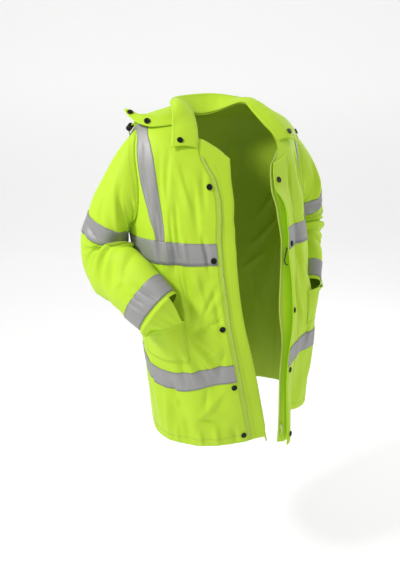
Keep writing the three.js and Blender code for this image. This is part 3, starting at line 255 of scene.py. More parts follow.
# share, x, y, z, roll
COLLAR_EDGE = np.array([
    [0, -174, -101, -92, 5],
    [0.14, -158, -72, -56, 8],
    [0.27, -139, -36, -14, 12],
    [0.36, -106, 42, 3, 14],
    [0.44, -66, 92, 14, 6],
    [0.5, -8, 108, 20, 0],
    [0.57, 55, 102, 22, 0],
    [0.64, 100, 66, 15, 4],
    [0.73, 132, 20, 3, 10],
    [0.86, 172, -50, -36, 14],
    [0.93, 185, -77, -64, 13],
    [1, 191, -101, -98, 9],
])
COLLAR_ROWS = 3
COLLAR_COLUMNS = 24

# The hood at ten stations: rows of angle, level, lift from the seam to the rim.
HOOD_STATIONS = [0, 0.05, 0.1, 0.25, 0.38, 0.5, 0.62, 0.75, 0.9, 1]
HOOD_SECTIONS = np.array([
    [[-57, 64, 3], [-61, 80, 3.4], [-67, 98, 4.5], [-75, 112, 9], [-86, 117, 24], [-98, 112, 48]],
    [[-62, 42, 3], [-67, 56, 5], [-73, 76, 9], [-80, 93, 13], [-90, 104, 24], [-99, 106, 40]],
    [[-70, 22, 3], [-74, 38, 3], [-80, 58, 3.4], [-87, 78, 4], [-94, 94, 10], [-101, 102, 22]],
    [[-110, 8, 4], [-117, 40, 6], [-124, 84, 10], [-128, 120, 22], [-127, 108, 29], [-122, 84, 14]],
    [[-140, 6, 5], [-143, 46, 8], [-146, 116, 14], [-148, 166, 28], [-146, 142, 44],
     [-142, 104, 30]],
    [[-180, 6, 6], [-180, 50, 12], [-180, 140, 18], [-180, 188, 36], [-180, 142, 62],
     [-180, 60, 50]],
    [[-220, 6, 6], [-217, 50, 12], [-214, 126, 18], [-213, 174, 34], [-215, 128, 58],
     [-218, 58, 50]],
    [[-250, 8, 4], [-244, 44, 8], [-240, 92, 13], [-238, 128, 24], [-241, 108, 34], [-246, 68, 18]],
    [[-290, 26, 3], [-285, 50, 4], [-281, 76, 5], [-278, 98, 7], [-275, 116, 10], [-272, 130, 12]],
    [[-303, 66, 3], [-300, 84, 3.4], [-297, 104, 4], [-294, 122, 4.6], [-292, 138, 5.4],
     [-290, 152, 6]],
])
HOOD_ROWS = 10
HOOD_COLUMNS = 24
# Soft creases of the hood: share of its length and row at both ends, half width, depth.
HOOD_CREASES = [
    [0.2, 0.1, 0.28, 0.62, 0.018, -2.4], [0.32, 0.05, 0.36, 0.6, 0.02, -2.8],
    [0.42, 0.1, 0.44, 0.9, 0.022, 2.4], [0.49, 0.05, 0.48, 0.7, 0.018, -2.8],
    [0.56, 0.1, 0.58, 0.85, 0.02, 2.4], [0.63, 0.02, 0.66, 0.55, 0.014, -3],
    [0.68, 0.05, 0.7, 0.6, 0.012, 2.6], [0.72, 0.02, 0.76, 0.5, 0.012, -3],
    [0.8, 0.1, 0.82, 0.7, 0.016, -1.8], [0.3, 0.75, 0.6, 0.72, 0.03, -2], [0.12, 0.2, 0.16, 0.9, 0.02, -1.6],
]

# angle, level, height over the body
HOOD_CORD = [[-88, 108, 11], [-93, 117, 12], [-99, 127, 11], [-104, 136, 2.1]]
WAIST_CORD = [[19.5, 362, 2.2], [16.8, 376, 6], [15.2, 390, 7.5], [15.8, 398, 7], [17.8, 403, 5.5]]
CORD_RADIUS = 1.5
LOCK = {"radius": 7, "length": 18, "hole": 3.7, "at": 0.58}

# share, angle, level
INNER_FLAP_TOP = np.array([[0, 39, 74], [0.35, 31, 70], [0.7, 19, 80], [1, 10, 104]])
INNER_FLAP_DEPTH = CLOTH + 0.8
OUTER_FLAP_LIFT = 1.1
FLAP_COLUMNS = 4

POCKET_ROWS = (492, 590)
POCKET_COLUMNS = (6, 12)
# depth, peak, lean, where the flap starts
POCKET_SWELL = {"right": (44, 0.36, 1.2, 0.04), "left": (22, 0.36, 1.2, 0.35)}
# share from the cuff to the rim, lift, wave, how far past the cuff
POCKET_FLAP = np.array([
    [0, 3.2, 0, -4], [0, 5, 0.6, 6], [0.4, 6, 2.5, 12], [0.75, 7, 4, 6], [1, 5, 2.4, 0],
])
POCKET_FLAP_LEFT_END = 5
FLAP_WAVES = 5
FLAP_SPAN = 14
CUFF_REACH = 5

SNAP_LEVELS = [188, 350, 520, 680, 828]
# sheet, share down, share across, height
LOOSE_SNAPS = {
    "snap_collar_right": ("collar", 0.68, 0.035, 0.6),
    "snap_collar_left": ("collar", 0.7, 0.965, 0.8),
    "snap_hood_right_1": ("hood", 0.62, 0.02, 1.1),
    "snap_hood_right_2": ("hood", 0.9, 0.025, 1.4),
    "snap_hood_left": ("hood", 0.86, 0.975, 0.9),
}
SLIDER = {"level": 806, "wide": 9, "tall": 13, "thick": 4.5, "lift": 2.2}
PULL = {"wide": 7, "tall": 23, "thick": 1.6, "gap": 0.9, "top": 1.2, "up": 2}


def smooth(x):
    x = np.clip(x, 0, 1)
    return x * x * (3 - 2 * x)


def mix(a, b, t):
    return a + (b - a) * t


def unit(v):
    return v / np.maximum(np.linalg.norm(v, axis=-1, keepdims=True), 1e-9)


def between(rows, at):
    """A smooth curve through the rows of a table, read at values of its first column."""
    rows, at = np.asarray(rows, float), np.asarray(at, float)
    last = len(rows) - 1
    i = np.clip(np.searchsorted(rows[:, 0], at, side="left") - 1, 0, last - 1)
    a, b, c, d = (rows[np.clip(i + k, 0, last)] for k in (-1, 0, 1, 2))
    key_a, key_b, key_c, key_d = (r[..., :1] for r in (a, b, c, d))
    span = key_c - key_b
    t = np.clip((at[..., None] - key_b) / span, 0, 1)
    m0 = (c - a) / (key_c - key_a) * span
    m1 = (d - b) / (key_d - key_b) * span
    return ((2 * t**3 - 3 * t**2 + 1) * b + (t**3 - 2 * t**2 + t) * m0
            + (3 * t**2 - 2 * t**3) * c + (t**3 - t**2) * m1)


def bump(x, mid, half):
    return np.exp(-(((x - mid) / half) ** 2))


def lift(angle, level):
    """How far the rows of the fronts are pulled up or down."""
    raised_side = 20 * bump(angle, 25, 42) * smooth((level - 150) / 120)
    raised_side = raised_side * (1 - smooth((level - 680) / 150))
    corner = -18 * bump(angle, 8, 14) * smooth((level - 720) / 130)
    pulled = -26 * bump(angle, -62, 26) * bump(level, 660, 110)
    side = 8 * bump(angle, -98, 18) * bump(level, 630, 90)
    return np.where(angle > 0, raised_side + corner, pulled + side)


def plain_body(angle, level):
    row = np.moveaxis(between(BODY_SECTIONS, level), -1, 0)
    _, z_side, z_front, z_back, mid_x, mid_y, half, front, back = row
    sin, cos = np.sin(np.radians(angle)), np.cos(np.radians(angle))
    depth = np.where(cos > 0, front, back)
    end = np.where(cos > 0, z_front, z_back)
    z = z_side + (end - z_side) * cos * cos + lift(angle, level)
    return np.stack([mid_x + half * sin, mid_y - depth * cos, z], -1)


def relief(angle, level):
    """The folds and dents of the solids."""
    out = np.zeros(np.shape(angle))
    for a1, l1, a2, l2, width, depth in BODY_FOLDS:
        out = out + depth * crease(angle * MM_PER_DEGREE, level, a1 * MM_PER_DEGREE, l1,
                                   a2 * MM_PER_DEGREE, l2, width, width)
    for a, lv, wide, tall, depth in BODY_DENTS:
        across = (angle - a) * MM_PER_DEGREE / wide
        down = (level - lv) / tall
        out = out + depth * np.exp(-(across**2 + down**2))
    return out


def crease(x, y, ax, ay, bx, by, width, other):
    """The height of a soft ridge from a to b, one side of it steeper than the other."""
    dx, dy = bx - ax, by - ay
    px, py = x - ax, y - ay
    length = math.hypot(dx, dy)
    t = np.clip((px * dx + py * dy) / length**2, 0, 1)
    off = np.hypot(px - t * dx, py - t * dy)
    side = px * dy - py * dx
    half = mix(width, other, smooth(0.5 + side / (length * 3)))
    return (0.25 + 0.75 * np.sin(np.pi * t)) * np.exp(-((off / half) ** 2))


def fine_relief(angle, level):
    """Creases, puckers at the seams and the unevenness of the cloth."""
    x, y = angle * MM_PER_DEGREE, level
    out = np.zeros(np.shape(angle))
    for a1, l1, a2, l2, width, other, depth in BODY_CREASES:
        out = out + CREASE_DEPTH * depth * crease(x, y, a1 * MM_PER_DEGREE, l1, a2 * MM_PER_DEGREE, l2, width, other)
    for k, row in enumerate(PUCKER_LEVELS):
        wave = np.sin(x / 3.1 + 2.3 * np.sin(x / 37 + k)) * (0.6 + 0.4 * np.sin(x / 61 + 2 * k))
        out = out + 0.35 * wave * bump(y, row, 10)
    out = out + 0.5 * np.sin(x / 23 + 1.7 * np.sin(y / 51)) * np.sin(y / 29 + 1.3 * np.sin(x / 43))
    out = out + 0.9 * np.sin(x / 57 + np.sin(y / 90)) * np.sin(y / 71 + 2.0 * np.sin(x / 110))
    return out * smooth((level - 20) / 120)


def body(angle, level, fine=True):
    """Points of the body's surface and the outward directions there."""
    angle, level = np.broadcast_arrays(np.asarray(angle, float), np.asarray(level, float))
    around = plain_body(angle + 0.5, level) - plain_body(angle - 0.5, level)
    down = plain_body(angle, np.minimum(level + 2, HEM_LEVEL))
    down = down - plain_body(angle, np.maximum(level - 2, 0))
    out = unit(np.cross(down, around))
    height = relief(angle, level) + (fine_relief(angle, level) if fine else 0)
    return plain_body(angle, level) + out * height[..., None], out


def clear_of_body(points, gap):
    """Moves points out of the body where they would lie in it or closer than a gap."""
    level = np.maximum(-points[..., 2], 0)
    angle = np.zeros(level.shape)
    for _ in range(8):
        row = np.moveaxis(between(BODY_SECTIONS, np.minimum(level, HEM_LEVEL)), -1, 0)
        mid_x, mid_y, half, front, back = row[4:]
        depth = np.where(points[..., 1] < mid_y, front, back)
        turn = np.arctan2((points[..., 0] - mid_x) / half, (mid_y - points[..., 1]) / depth)
        angle = np.degrees(turn)
        at, _ = body(angle, level, fine=False)
        level = np.clip(level + at[..., 2] - points[..., 2], 0, HEM_LEVEL)
    at, out = body(angle, level, fine=False)
    off = ((points - at) * out).sum(-1)
    return points + out * np.maximum(gap - off, 0)[..., None]


class Sheet:
    """A grid of points on cloth, with the outward direction at each."""

    def __init__(self, points, normals=None, closed=False, flip=False):
        self.points, self.closed = points, closed
        self.normals = self.directions(flip) if normals is None else normals

    def directions(self, flip):
        p = self.points
        down = np.gradient(p, axis=0)
        if self.closed:
            around = np.roll(p, -1, 1) - np.roll(p, 1, 1)
        else:
            around = np.gradient(p, axis=1)
        n = unit(np.cross(down, around))
        return -n if flip else n

    def cut(self, rows, cols, closed=False):
        part = (slice(rows[0], rows[1] + 1), slice(cols[0], cols[1] + 1))
        return Sheet(self.points[part], self.normals[part], closed)

    def inset(self, top=0.0, bottom=0.0, first=0.0, last=0.0):
        """The sheet with its edges pulled in along its own rows and columns."""
        p = self.points.copy()
        for amount, edge, onto, axis in (
                (top, 0, 1, 0), (bottom, -1, -2, 0), (first, 0, 1, 1), (last, -1, -2, 1)):
            if not amount:
                continue
            q = p if axis == 0 else p.swapaxes(0, 1)
            way = q[onto] - q[edge]
            far = np.linalg.norm(way, axis=-1, keepdims=True)
            q[edge] = q[edge] + way * np.minimum(amount / np.maximum(far, 1e-6), 0.6)
        return Sheet(p, self.normals, self.closed)

    def raised(self, by):
        rows, cols = self.points.shape[:2]
        if callable(by):
            down, across = np.meshgrid(np.linspace(0, 1, rows), np.linspace(0, 1, cols), indexing="ij")
            by = by(down, across)[..., None]
        return Sheet(self.points + self.normals * by, self.normals, self.closed)

    def spot(self, down, across):
        """Points and directions at shares of the rows and columns."""
        down, across = np.broadcast_arrays(np.asarray(down, float), np.asarray(across, float))
        rows, cols = self.points.shape[0] - 1, self.points.shape[1] - 1
        r = np.clip((down * rows).astype(int), 0, rows - 1)
        c = np.clip((across * cols).astype(int), 0, cols - 1)
        v, u = (down * rows - r)[..., None], (across * cols - c)[..., None]

        def at(grid):
            upper = mix(grid[r, c], grid[r, c + 1], u)
            return mix(upper, mix(grid[r + 1, c], grid[r + 1, c + 1], u), v)

        return at(self.points), unit(at(self.normals))


def spread(marks, counts):
    """Even steps over the stretches between marks; the marks may be arrays."""
    parts = [np.linspace(a, b, n, endpoint=False) for a, b, n in zip(marks, marks[1:], counts)]
    return np.concatenate(parts + [np.asarray(marks[-1], float)[None]])


def slanted(angle, level):
    side = np.clip((np.abs(angle) - 50) / 38, 0, 1)
    front = np.where(np.abs(angle) <= SEAM_DEGREES, 1,
                     np.maximum(0, 1 - (np.abs(angle) - 90) / 24))
    near = np.maximum(0, 1 - np.abs(level - 492) / 100)
    return level + 40 * smooth(side) * front * smooth(near)


FINE_LEVELS = spread([float(v) for v in LEVELS], [FINE] * (len(LEVELS) - 1))


def row_of(level):
    return (SHOULDER_ROWS + LEVELS.index(level)) * FINE


PIT_ROW = row_of(PIT_LEVEL)


def panel_grid(top, marks, counts):
    """Angles and levels of a panel: rows over the shoulder from its top, then its levels."""
    angles = spread(marks, [n * FINE for n in counts]).T
    levels = np.repeat(FINE_LEVELS[:, None], angles.shape[1], 1)
    share = (np.arange(SHOULDER_ROWS * FINE) / (SHOULDER_ROWS * FINE))[:, None]
    first = (mix(top[0], angles[0], share), mix(top[1], float(LEVELS[0]), share))
    return (np.vstack([first[0], angles]), np.vstack([first[1], slanted(angles, levels)]))


def front_grid(name):
    neck, shoulder, tape, side = FRONT_COLUMNS
    row = between(NECKLINE, np.linspace(0, 1, neck * FINE + 1))
    seam = spread([float(v) for v in SHOULDER_SEAM], [shoulder * FINE, tape * FINE, side * FINE])[1:]
    top = (np.append(row[:, 1 if name == "right" else 2], np.full(len(seam), 90.0)),
           np.append(row[:, 3], seam))
    _, _, edge, tape_in, tape_out, end = between(FRONT_LINES[name], FINE_LEVELS).T
    nape = mix(edge, tape_in, neck / (neck + shoulder))
    return panel_grid(top, [edge, nape, tape_in, tape_out, end], FRONT_COLUMNS)


def back_grid():
    side, tape, shoulder, neck = BACK_COLUMNS
    seam = spread([float(v) for v in SHOULDER_SEAM[::-1]], [side * FINE, tape * FINE, shoulder * FINE])
    nape = np.linspace(90, 180, neck * FINE + 1)[1:]
    top = (np.append(np.full(len(seam), 90.0), nape), np.append(seam, np.zeros(len(nape))))
    _, end, tape_out, tape_in = between(BACK_LINES, FINE_LEVELS).T
    middle = mix(tape_in, 180, shoulder / (neck + shoulder))
    return panel_grid(top, [end, tape_out, tape_in, middle, np.full(len(end), 180.0)], BACK_COLUMNS)


def spline(points, shares, dense=600):
    """A centripetal curve through points: places, directions and parameters at shares."""
    p = np.asarray(points, float)
    p = np.vstack([2 * p[0] - p[1], p, 2 * p[-1] - p[-2]])
    spans = len(p) - 3
    t = np.linspace(0, spans, dense * spans // 4 + 1)
    i = np.clip(t.astype(int), 0, spans - 1)
    w = (t - i)[:, None]
    a, b, c, d = (p[i + k] for k in range(4))
    da, db, dc = (np.maximum(np.linalg.norm(v, axis=1, keepdims=True), 1e-6) ** 0.5
                  for v in (b - a, c - b, d - c))
    m0 = ((b - a) / da - (c - a) / (da + db) + (c - b) / db) * db
    m1 = ((c - b) / db - (d - b) / (db + dc) + (d - c) / dc) * db
    q = (2 * w**3 - 3 * w**2 + 1) * b + (w**3 - 2 * w**2 + w) * m0
    q = q + (3 * w**2 - 2 * w**3) * c + (w**3 - w**2) * m1
    run = np.append(0, np.cumsum(np.linalg.norm(np.diff(q, axis=0), axis=1)))
    at = np.asarray(shares) * run[-1]
    place = np.stack([np.interp(at, run, q[:, k]) for k in range(3)], -1)
    way = unit(np.stack([np.interp(at, run, g) for g in np.gradient(q, axis=0).T], -1))
    return place, way, np.interp(at, run, t / spans), run[-1]


def sleeve_relief(share, stop, length, angle, fine=True):
    out = np.zeros(np.shape(angle))
    for at, middle, width, reach, depth in SLEEVE_FOLDS:
        off = angle - middle
        off = off - 360 * np.round(off / 360)
        out = out + depth * np.exp(-((off / reach) ** 2)) * np.exp(-(((share - at) * length / width) ** 2))
    if fine:
        for s1, a1, s2, a2, width, other, depth in SLEEVE_CREASES:
            off = angle - (a1 + a2) / 2
            near = (off - 360 * np.round(off / 360) + (a1 + a2) / 2) * SLEEVE_MM_PER_DEGREE
            out = out + CREASE_DEPTH * depth * crease(near, share * length, a1 * SLEEVE_MM_PER_DEGREE, s1 * length,
                                       a2 * SLEEVE_MM_PER_DEGREE, s2 * length, width, other)
        turn = np.radians(angle)
        out = out + 0.6 * np.sin(stop / 19 + 2 * np.sin(3 * turn)) * np.sin(2 * turn + stop / 47)
    return out * smooth(stop / SLEEVE_BLEND)


def sleeve_sheet(name, front, back, back_column):
    sign = -1 if name == "right" else 1
    mirror = np.array([sign, 1, 1])
    rows = SLEEVES[name]
    loop = np.vstack([front.points[:PIT_ROW + 1, -1], back.points[PIT_ROW - 1:0:-1, back_column]])
    loop = loop * mirror
    length = spline(rows[:, :3], [0.0])[3]
    starts = [SLEEVE_TAPES["upper"], length - SLEEVE_TAPES["cuff"]]
    marks = [0.0] + [v for s in starts for v in (s, s + TAPE_WIDTH)] + [length]
    stops = spread(marks, [n * FINE for n in SLEEVE_COUNTS])
    places, ways, params, _ = spline(rows[:, :3], stops / length)
    middle = rows[0, :3]
    turn = np.arctan2(-(loop[:, 1] - middle[1]), loop[:, 2] - middle[2])
    turn = np.unwrap(turn)
    if turn[-1] < turn[0]:
        turn = turn + 2 * np.pi * np.arange(len(turn)) / len(turn)
    even = turn[0] + 2 * np.pi * np.arange(len(turn)) / len(turn)
    spots = np.linspace(0, 1, len(rows))[:, None]
    halves = between(np.hstack([spots, rows[:, 3:]]), params)
    along = Vector((1, 0, -0.2)).normalized()
    top = (Vector((0, 0, 1)) + along * 0.2).normalized()
    rings = []
    for k, stop in enumerate(stops):
        onto = along if stop == 0 else Vector(ways[k])
        top = along.rotation_difference(onto) @ top
        along = onto
        front_way = np.array(along.cross(top))
        blend = float(smooth(stop / SLEEVE_BLEND))
        angle = mix(turn, even, blend)
        way = np.cos(angle)[:, None] * np.array(top) + np.sin(angle)[:, None] * front_way
        across, long, swing = halves[k, 1:]
        inwards = np.array([math.cos(math.radians(swing)), -math.sin(math.radians(swing)), 0])
        inwards = unit(inwards - np.array(along) * (inwards @ np.array(along)))
        lean = (way @ inwards) ** 2
        radius = 1 / np.sqrt(lean / across**2 + (1 - lean) / long**2)
        radius = radius + sleeve_relief(stop / length, stop, length, np.degrees(angle))
        tube = places[k] + way * radius[:, None]
        carried = loop + places[k] - middle + np.array([SEAM_GAP + 0.1, 0, 0])
        ring = mix(carried, tube, blend) * mirror
        if stop > 0:
            ring = clear_of_body(ring, mix(SEAM_GAP, SLEEVE_CLEAR, float(smooth(stop / 40))))
        if rings:
            onwards = np.array(along) * mirror
            step = (ring - rings[-1]) @ onwards
            ring = ring + np.maximum(SLEEVE_STEP / FINE - step, 0)[:, None] * onwards
        rings.append(ring)
    return Sheet(np.array(rings), closed=True, flip=sign > 0), stops, length


def collar_sheet(front_right, front_left, back):
    neck = FRONT_COLUMNS[0] * FINE
    right = front_right.points[0, :neck + 1:FINE]
    left = front_left.points[0, :neck + 1:FINE][::-1]
    nape = back.points[0, 10 * FINE:12 * FINE + 1:FINE]
    shares = np.linspace(0, 1, COLLAR_COLUMNS * FINE + 1)
    base = spline(np.vstack([right, nape, left]), shares)[0]
    base[:, 2] += 2.4
    edge = between(COLLAR_EDGE, shares)
    high = np.linspace(0, 1, COLLAR_ROWS * FINE + 1)[:, None, None]
    at = mix(base[None], edge[None, :, 1:4], high)
    wave = np.sin(shares * 41) * np.sin(shares * 97 + 1) * 0.8
    at[..., 2] += (edge[None, :, 4] + wave) * np.sin(np.pi * high[..., 0])
    return Sheet(at)


def hood_sheet():
    rows = np.arange(6.0)[:, None]
    shares = np.linspace(0, 1, HOOD_COLUMNS * FINE + 1)
    downs = np.linspace(0, 1, HOOD_ROWS * FINE + 1)
    ribs = np.array([between(np.hstack([rows, s]), downs * 5)[:, 1:] for s in HOOD_SECTIONS])
    grid = []
    for r in range(len(downs)):
        ridge = np.hstack([np.array(HOOD_STATIONS)[:, None], ribs[:, r]])
        grid.append(between(ridge, shares)[:, 1:])
    angle, level, high = np.moveaxis(np.array(grid), -1, 0)
    u, v = np.meshgrid(shares, downs)
    for s1, d1, s2, d2, width, depth in HOOD_CREASES:
        fold = crease(u * 24, v * 5, s1 * 24, d1 * 5, s2 * 24, d2 * 5, width * 24, width * 24)
        high = high + depth * fold * np.minimum(1, high / 8)
    point, out = body(angle, level)
    return Sheet(point + out * high[..., None])


def strip(name, levels, columns, angles_at, lift_at):
    """A strip beside the zip edge of a front; each row runs between two angles."""
    sign = -1 if name == "right" else 1
    levels = np.asarray(levels, float)
    lines = between(FRONT_LINES[name], np.maximum(levels, LEVELS[0]))
    start, end = angles_at(lines, levels)
    share = np.linspace(0, 1, columns + 1)[None]
    angle = mix(start[:, None], end[:, None], share)
    level = np.repeat(levels[:, None], columns + 1, 1)
    point, out = body(sign * angle, level)
    share = np.broadcast_to(share, level.shape)
    return Sheet(point + out * lift_at(share, level)[..., None], out)


def degrees_for(mm):
    return mm / 4.1


def zip_strip(name, first, last, columns=2, height=0.0):
    """A strip of the zip half between two distances from the panel's edge."""
    top = NECKLINE[0, 3]
    step = (LEVELS[0] - top) / SHOULDER_ROWS
    levels = np.append(np.linspace(top + step, LEVELS[0], 2 * FINE, endpoint=False), FINE_LEVELS)

    def angles(lines, level):
        up = np.clip((LEVELS[0] - level) / (LEVELS[0] - top), 0, 1)
        edge = mix(lines[:, 2], NECKLINE[0, 1 if name == "right" else 2], up)
        return edge - degrees_for(first), edge - degrees_for(last)

    return strip(name, levels, columns, angles, lambda share, level: np.full(level.shape, height))


def inner_flap():
    under = degrees_for(13)
    cols = FLAP_COLUMNS * FINE
    base = strip("right", FINE_LEVELS, cols, lambda lines, _: (lines[:, 2] + under, lines[:, 1]),
                 lambda share, level: np.full(level.shape, -INNER_FLAP_DEPTH))
    top = between(INNER_FLAP_TOP, np.linspace(0, 1, cols + 1))
    line = between(FRONT_LINES["right"], LEVELS[0])
    first = mix(line[2] + under, line[1], np.linspace(0, 1, cols + 1))
    share = (np.arange(FINE) / FINE)[:, None]
    angle, level = mix(top[:, 1], first, share), mix(top[:, 2], float(LEVELS[0]), share)
    point, out = body(-angle, level)
    return Sheet(np.vstack([point - out * INNER_FLAP_DEPTH, base.points]),
                 np.vstack([out, base.normals]))


def outer_flap():
    share_in = 3 / (FRONT_COLUMNS[0] + FRONT_COLUMNS[1])

    def high(share, level):
        opened = 5 + 17 * smooth((level - 190) / 90) * (1 - 0.3 * smooth((level - 560) / 200))
        return OUTER_FLAP_LIFT + opened * share**1.7

    made = strip("left", FINE_LEVELS, FLAP_COLUMNS * FINE,
                 lambda lines, _: (mix(lines[:, 2], lines[:, 3], share_in) - 0.5, lines[:, 1]), high)
    return Sheet(made.points, flip=True)


def pocket_sheet(name, front):
    depth, peak, lean, _ = POCKET_SWELL[name]
    patch = front.cut([row_of(v) for v in POCKET_ROWS], [c * FINE for c in POCKET_COLUMNS])

    def swell(down, across):
        side = np.where(across < peak, across / peak, (1 - across) / (1 - peak))
        ripple = 0.9 * np.sin(across * 19 + 3 * down) * (1 - down) * smooth(side * 4)
        return SEAM_GAP + depth * smooth(side) * (1 - down) ** lean + ripple * smooth(down * 6)

    return patch.raised(swell)


def pocket_flap(name, sleeve, pocket):
    table = POCKET_FLAP.copy()
    fine = np.linspace(0, 4, 4 * FINE + 1)
    table = between(np.hstack([np.arange(5.0)[:, None], table]), fine)[:, 1:]
    count = sleeve.points.shape[1]
    t = np.linspace(0, 1, FLAP_SPAN * FINE + 1)
    turn = mix(CUFF_REACH * FINE, -CUFF_REACH * FINE, t) + count
    i = turn.astype(int)
    w = (turn - i)[:, None]

    def around(grid, r):
        return mix(grid[r][i % count], grid[r][(i + 1) % count], w)

    cuff = around(sleeve.points, -1)
    onwards = unit(cuff - around(sleeve.points, -2))
    outward = unit(around(sleeve.normals, -1))
    rim, rim_out = pocket.spot(0.06, mix(POCKET_SWELL[name][3], 0.92, t))
    rows, normals = [], []
    for share, high, wave, ahead in table:
        way = unit(mix(outward, rim_out, share))
        ripple = wave * np.sin(t * np.pi * FLAP_WAVES + share * 1.3)
        ripple = ripple + 0.35 * wave * np.sin(t * np.pi * FLAP_WAVES * 2.7 + share * 4)
        rows.append(mix(cuff + onwards * ahead, rim, share) + way * (high + ripple)[:, None])
        normals.append(way)
    return Sheet(np.array(rows), np.array(normals))


MODEL = {}  # the sheets that several operators use


def cut_jacket():
    """Lays out every sheet of cloth."""
    if MODEL:
        return MODEL
    for name, sign in (("right", -1), ("left", 1)):
        angle, level = front_grid(name)
        MODEL["front_" + name] = Sheet(*body(sign * angle, level))
    angle, level = back_grid()
    angle = np.hstack([-angle, angle[:, -2::-1]])
    level = np.hstack([level, level[:, -2::-1]])
    MODEL["back"] = Sheet(*body(angle, level))
    for name, column in (("right", 0), ("left", -1)):
        sleeve, stops, length = sleeve_sheet(name, MODEL["front_" + name], MODEL["back"], column)
        MODEL["sleeve_" + name] = sleeve
    MODEL["collar"] = collar_sheet(MODEL["front_right"], MODEL["front_left"], MODEL["back"])
    MODEL["hood"] = hood_sheet()
    MODEL["storm_flap_inner"] = inner_flap()
    MODEL["storm_flap_outer"] = outer_flap()
    for name in ("right", "left"):
        MODEL["pocket_" + name] = pocket_sheet(name, MODEL["front_" + name])
        MODEL["pocket_flap_" + name] = pocket_flap(name, MODEL["sleeve_" + name], MODEL["pocket_" + name])
    return MODEL


# ---- meshes


def mesh_object(name, points, faces, uvs=None, indices=None, materials=(), shade=True):
    """An object from points in millimetres."""
    mesh = bpy.data.meshes.new(name)
    mesh.from_pydata((np.asarray(points) / 1000).tolist(), [], [list(map(int, f)) for f in faces])
    for material in materials:
        mesh.materials.append(material)
    if uvs is not None:
        layer = mesh.uv_layers.new(name="cloth")
        layer.data.foreach_set("uv", np.asarray(uvs, np.float32).ravel())
    if indices is not None:
        mesh.polygons.foreach_set("material_index", np.asarray(indices, np.int32))
    if shade:
        mesh.polygons.foreach_set("use_smooth", np.ones(len(mesh.polygons), bool))
    mesh.update()
    made = bpy.data.objects.new(name, mesh)
    bpy.context.scene.collection.objects.link(made)
    return made


def cloth_uv(points, closed):
    """Distances along the cloth in metres, at each point and one column more on a tube."""
    p = np.concatenate([points, points[:, :1]], 1) if closed else points
    u = np.cumsum(np.linalg.norm(np.diff(p, axis=1), axis=-1), 1)
    u = np.hstack([np.zeros((len(p), 1)), u])
    u = u - u[:, u.shape[1] // 2][:, None]
    v = np.linalg.norm(np.diff(p, axis=0), axis=-1).mean(1)
    v = np.append(0, np.cumsum(v))
    return np.stack([u, np.repeat(v[:, None], u.shape[1], 1)], -1) / 1000


def wall(name, sheet, inner, outer, materials, hold=None):
    """A closed wall with rounded edges between two offsets of a sheet."""
    p, n, closed = sheet.points, sheet.normals, sheet.closed
    rows, cols = p.shape[:2]
    low, high = n * inner, n * outer
    if hold:
        low, high = hold(low), hold(high)
    inside, outside = p + low, p + high
    count = rows * cols
    index = np.arange(count).reshape(rows, cols)
    across = np.concatenate([index, index[:, :1]], 1) if closed else index
    a, b, c, d = across[:-1, :-1], across[1:, :-1], across[1:, 1:], across[:-1, 1:]
    outer_faces = np.stack([a, b, c, d], -1).reshape(-1, 4)
    inner_faces = np.stack([a, d, c, b], -1).reshape(-1, 4) + count
    uv = cloth_uv(p, closed)
    corner = [uv[:-1, :-1], uv[1:, :-1], uv[1:, 1:], uv[:-1, 1:]]
    outer_uv = np.stack(corner, 2).reshape(-1, 4, 2)
    inner_uv = np.stack([corner[0], corner[3], corner[2], corner[1]], 2).reshape(-1, 4, 2)
    if closed:
        every = np.arange(cols)
        loops = [([(0, k) for k in every], [(1, k) for k in every]),
                 ([(rows - 1, k) for k in every[::-1]], [(rows - 2, k) for k in every[::-1]])]
    else:
        ring = [(0, k) for k in range(cols)] + [(k, cols - 1) for k in range(1, rows)]
        ring += [(rows - 1, k) for k in range(cols - 2, -1, -1)]
        ring += [(k, 0) for k in range(rows - 2, 0, -1)]
        near = [(min(max(r, 1), rows - 2), min(max(k, 1), cols - 2)) for r, k in ring]
        loops = [(ring, near)]
    points = [outside.reshape(-1, 3), inside.reshape(-1, 3)]
    faces, face_uv = [outer_faces, inner_faces], [outer_uv, inner_uv]
    base = 2 * count
    thick = abs(outer - inner)
    for ring, near in loops:
        r, k = np.array(ring).T
        s, m = np.array(near).T
        way = unit(p[r, k] - p[s, m])
        points.append((inside[r, k] + outside[r, k]) / 2 + way * 0.4 * thick)
        size = len(ring)
        here = np.arange(size)
        then = (here + 1) % size
        flat = index[r, k]
        rim = np.vstack([
            np.stack([flat[here], flat[then], base + then, base + here], -1),
            np.stack([base + here, base + then, flat[then] + count, flat[here] + count], -1)])
        faces.append(rim)
        near_uv = uv[r, k]
        quad = np.stack([near_uv[here], near_uv[then], near_uv[then], near_uv[here]], 1)
        face_uv.append(np.vstack([quad, quad]))
        base += size
    points, faces = np.vstack(points), np.vstack(faces)
    tri = points[faces]
    volume = (np.cross(tri[:, 0], tri[:, 1]) * tri[:, 2]).sum()
    volume += (np.cross(tri[:, 0], tri[:, 2]) * tri[:, 3]).sum()
    face_uv = np.vstack(face_uv)
    if volume < 0:
        faces, face_uv = faces[:, ::-1], face_uv[:, ::-1]
    sides = np.zeros(len(faces), int)
    if len(materials) > 1:
        sides[len(outer_faces):2 * len(outer_faces)] = 1
    return mesh_object(name, points, faces, face_uv, sides, materials)


def settle(made, nodes, on="jacket"):
    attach(made, on)
    if nodes:
        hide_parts(*nodes)
    return made


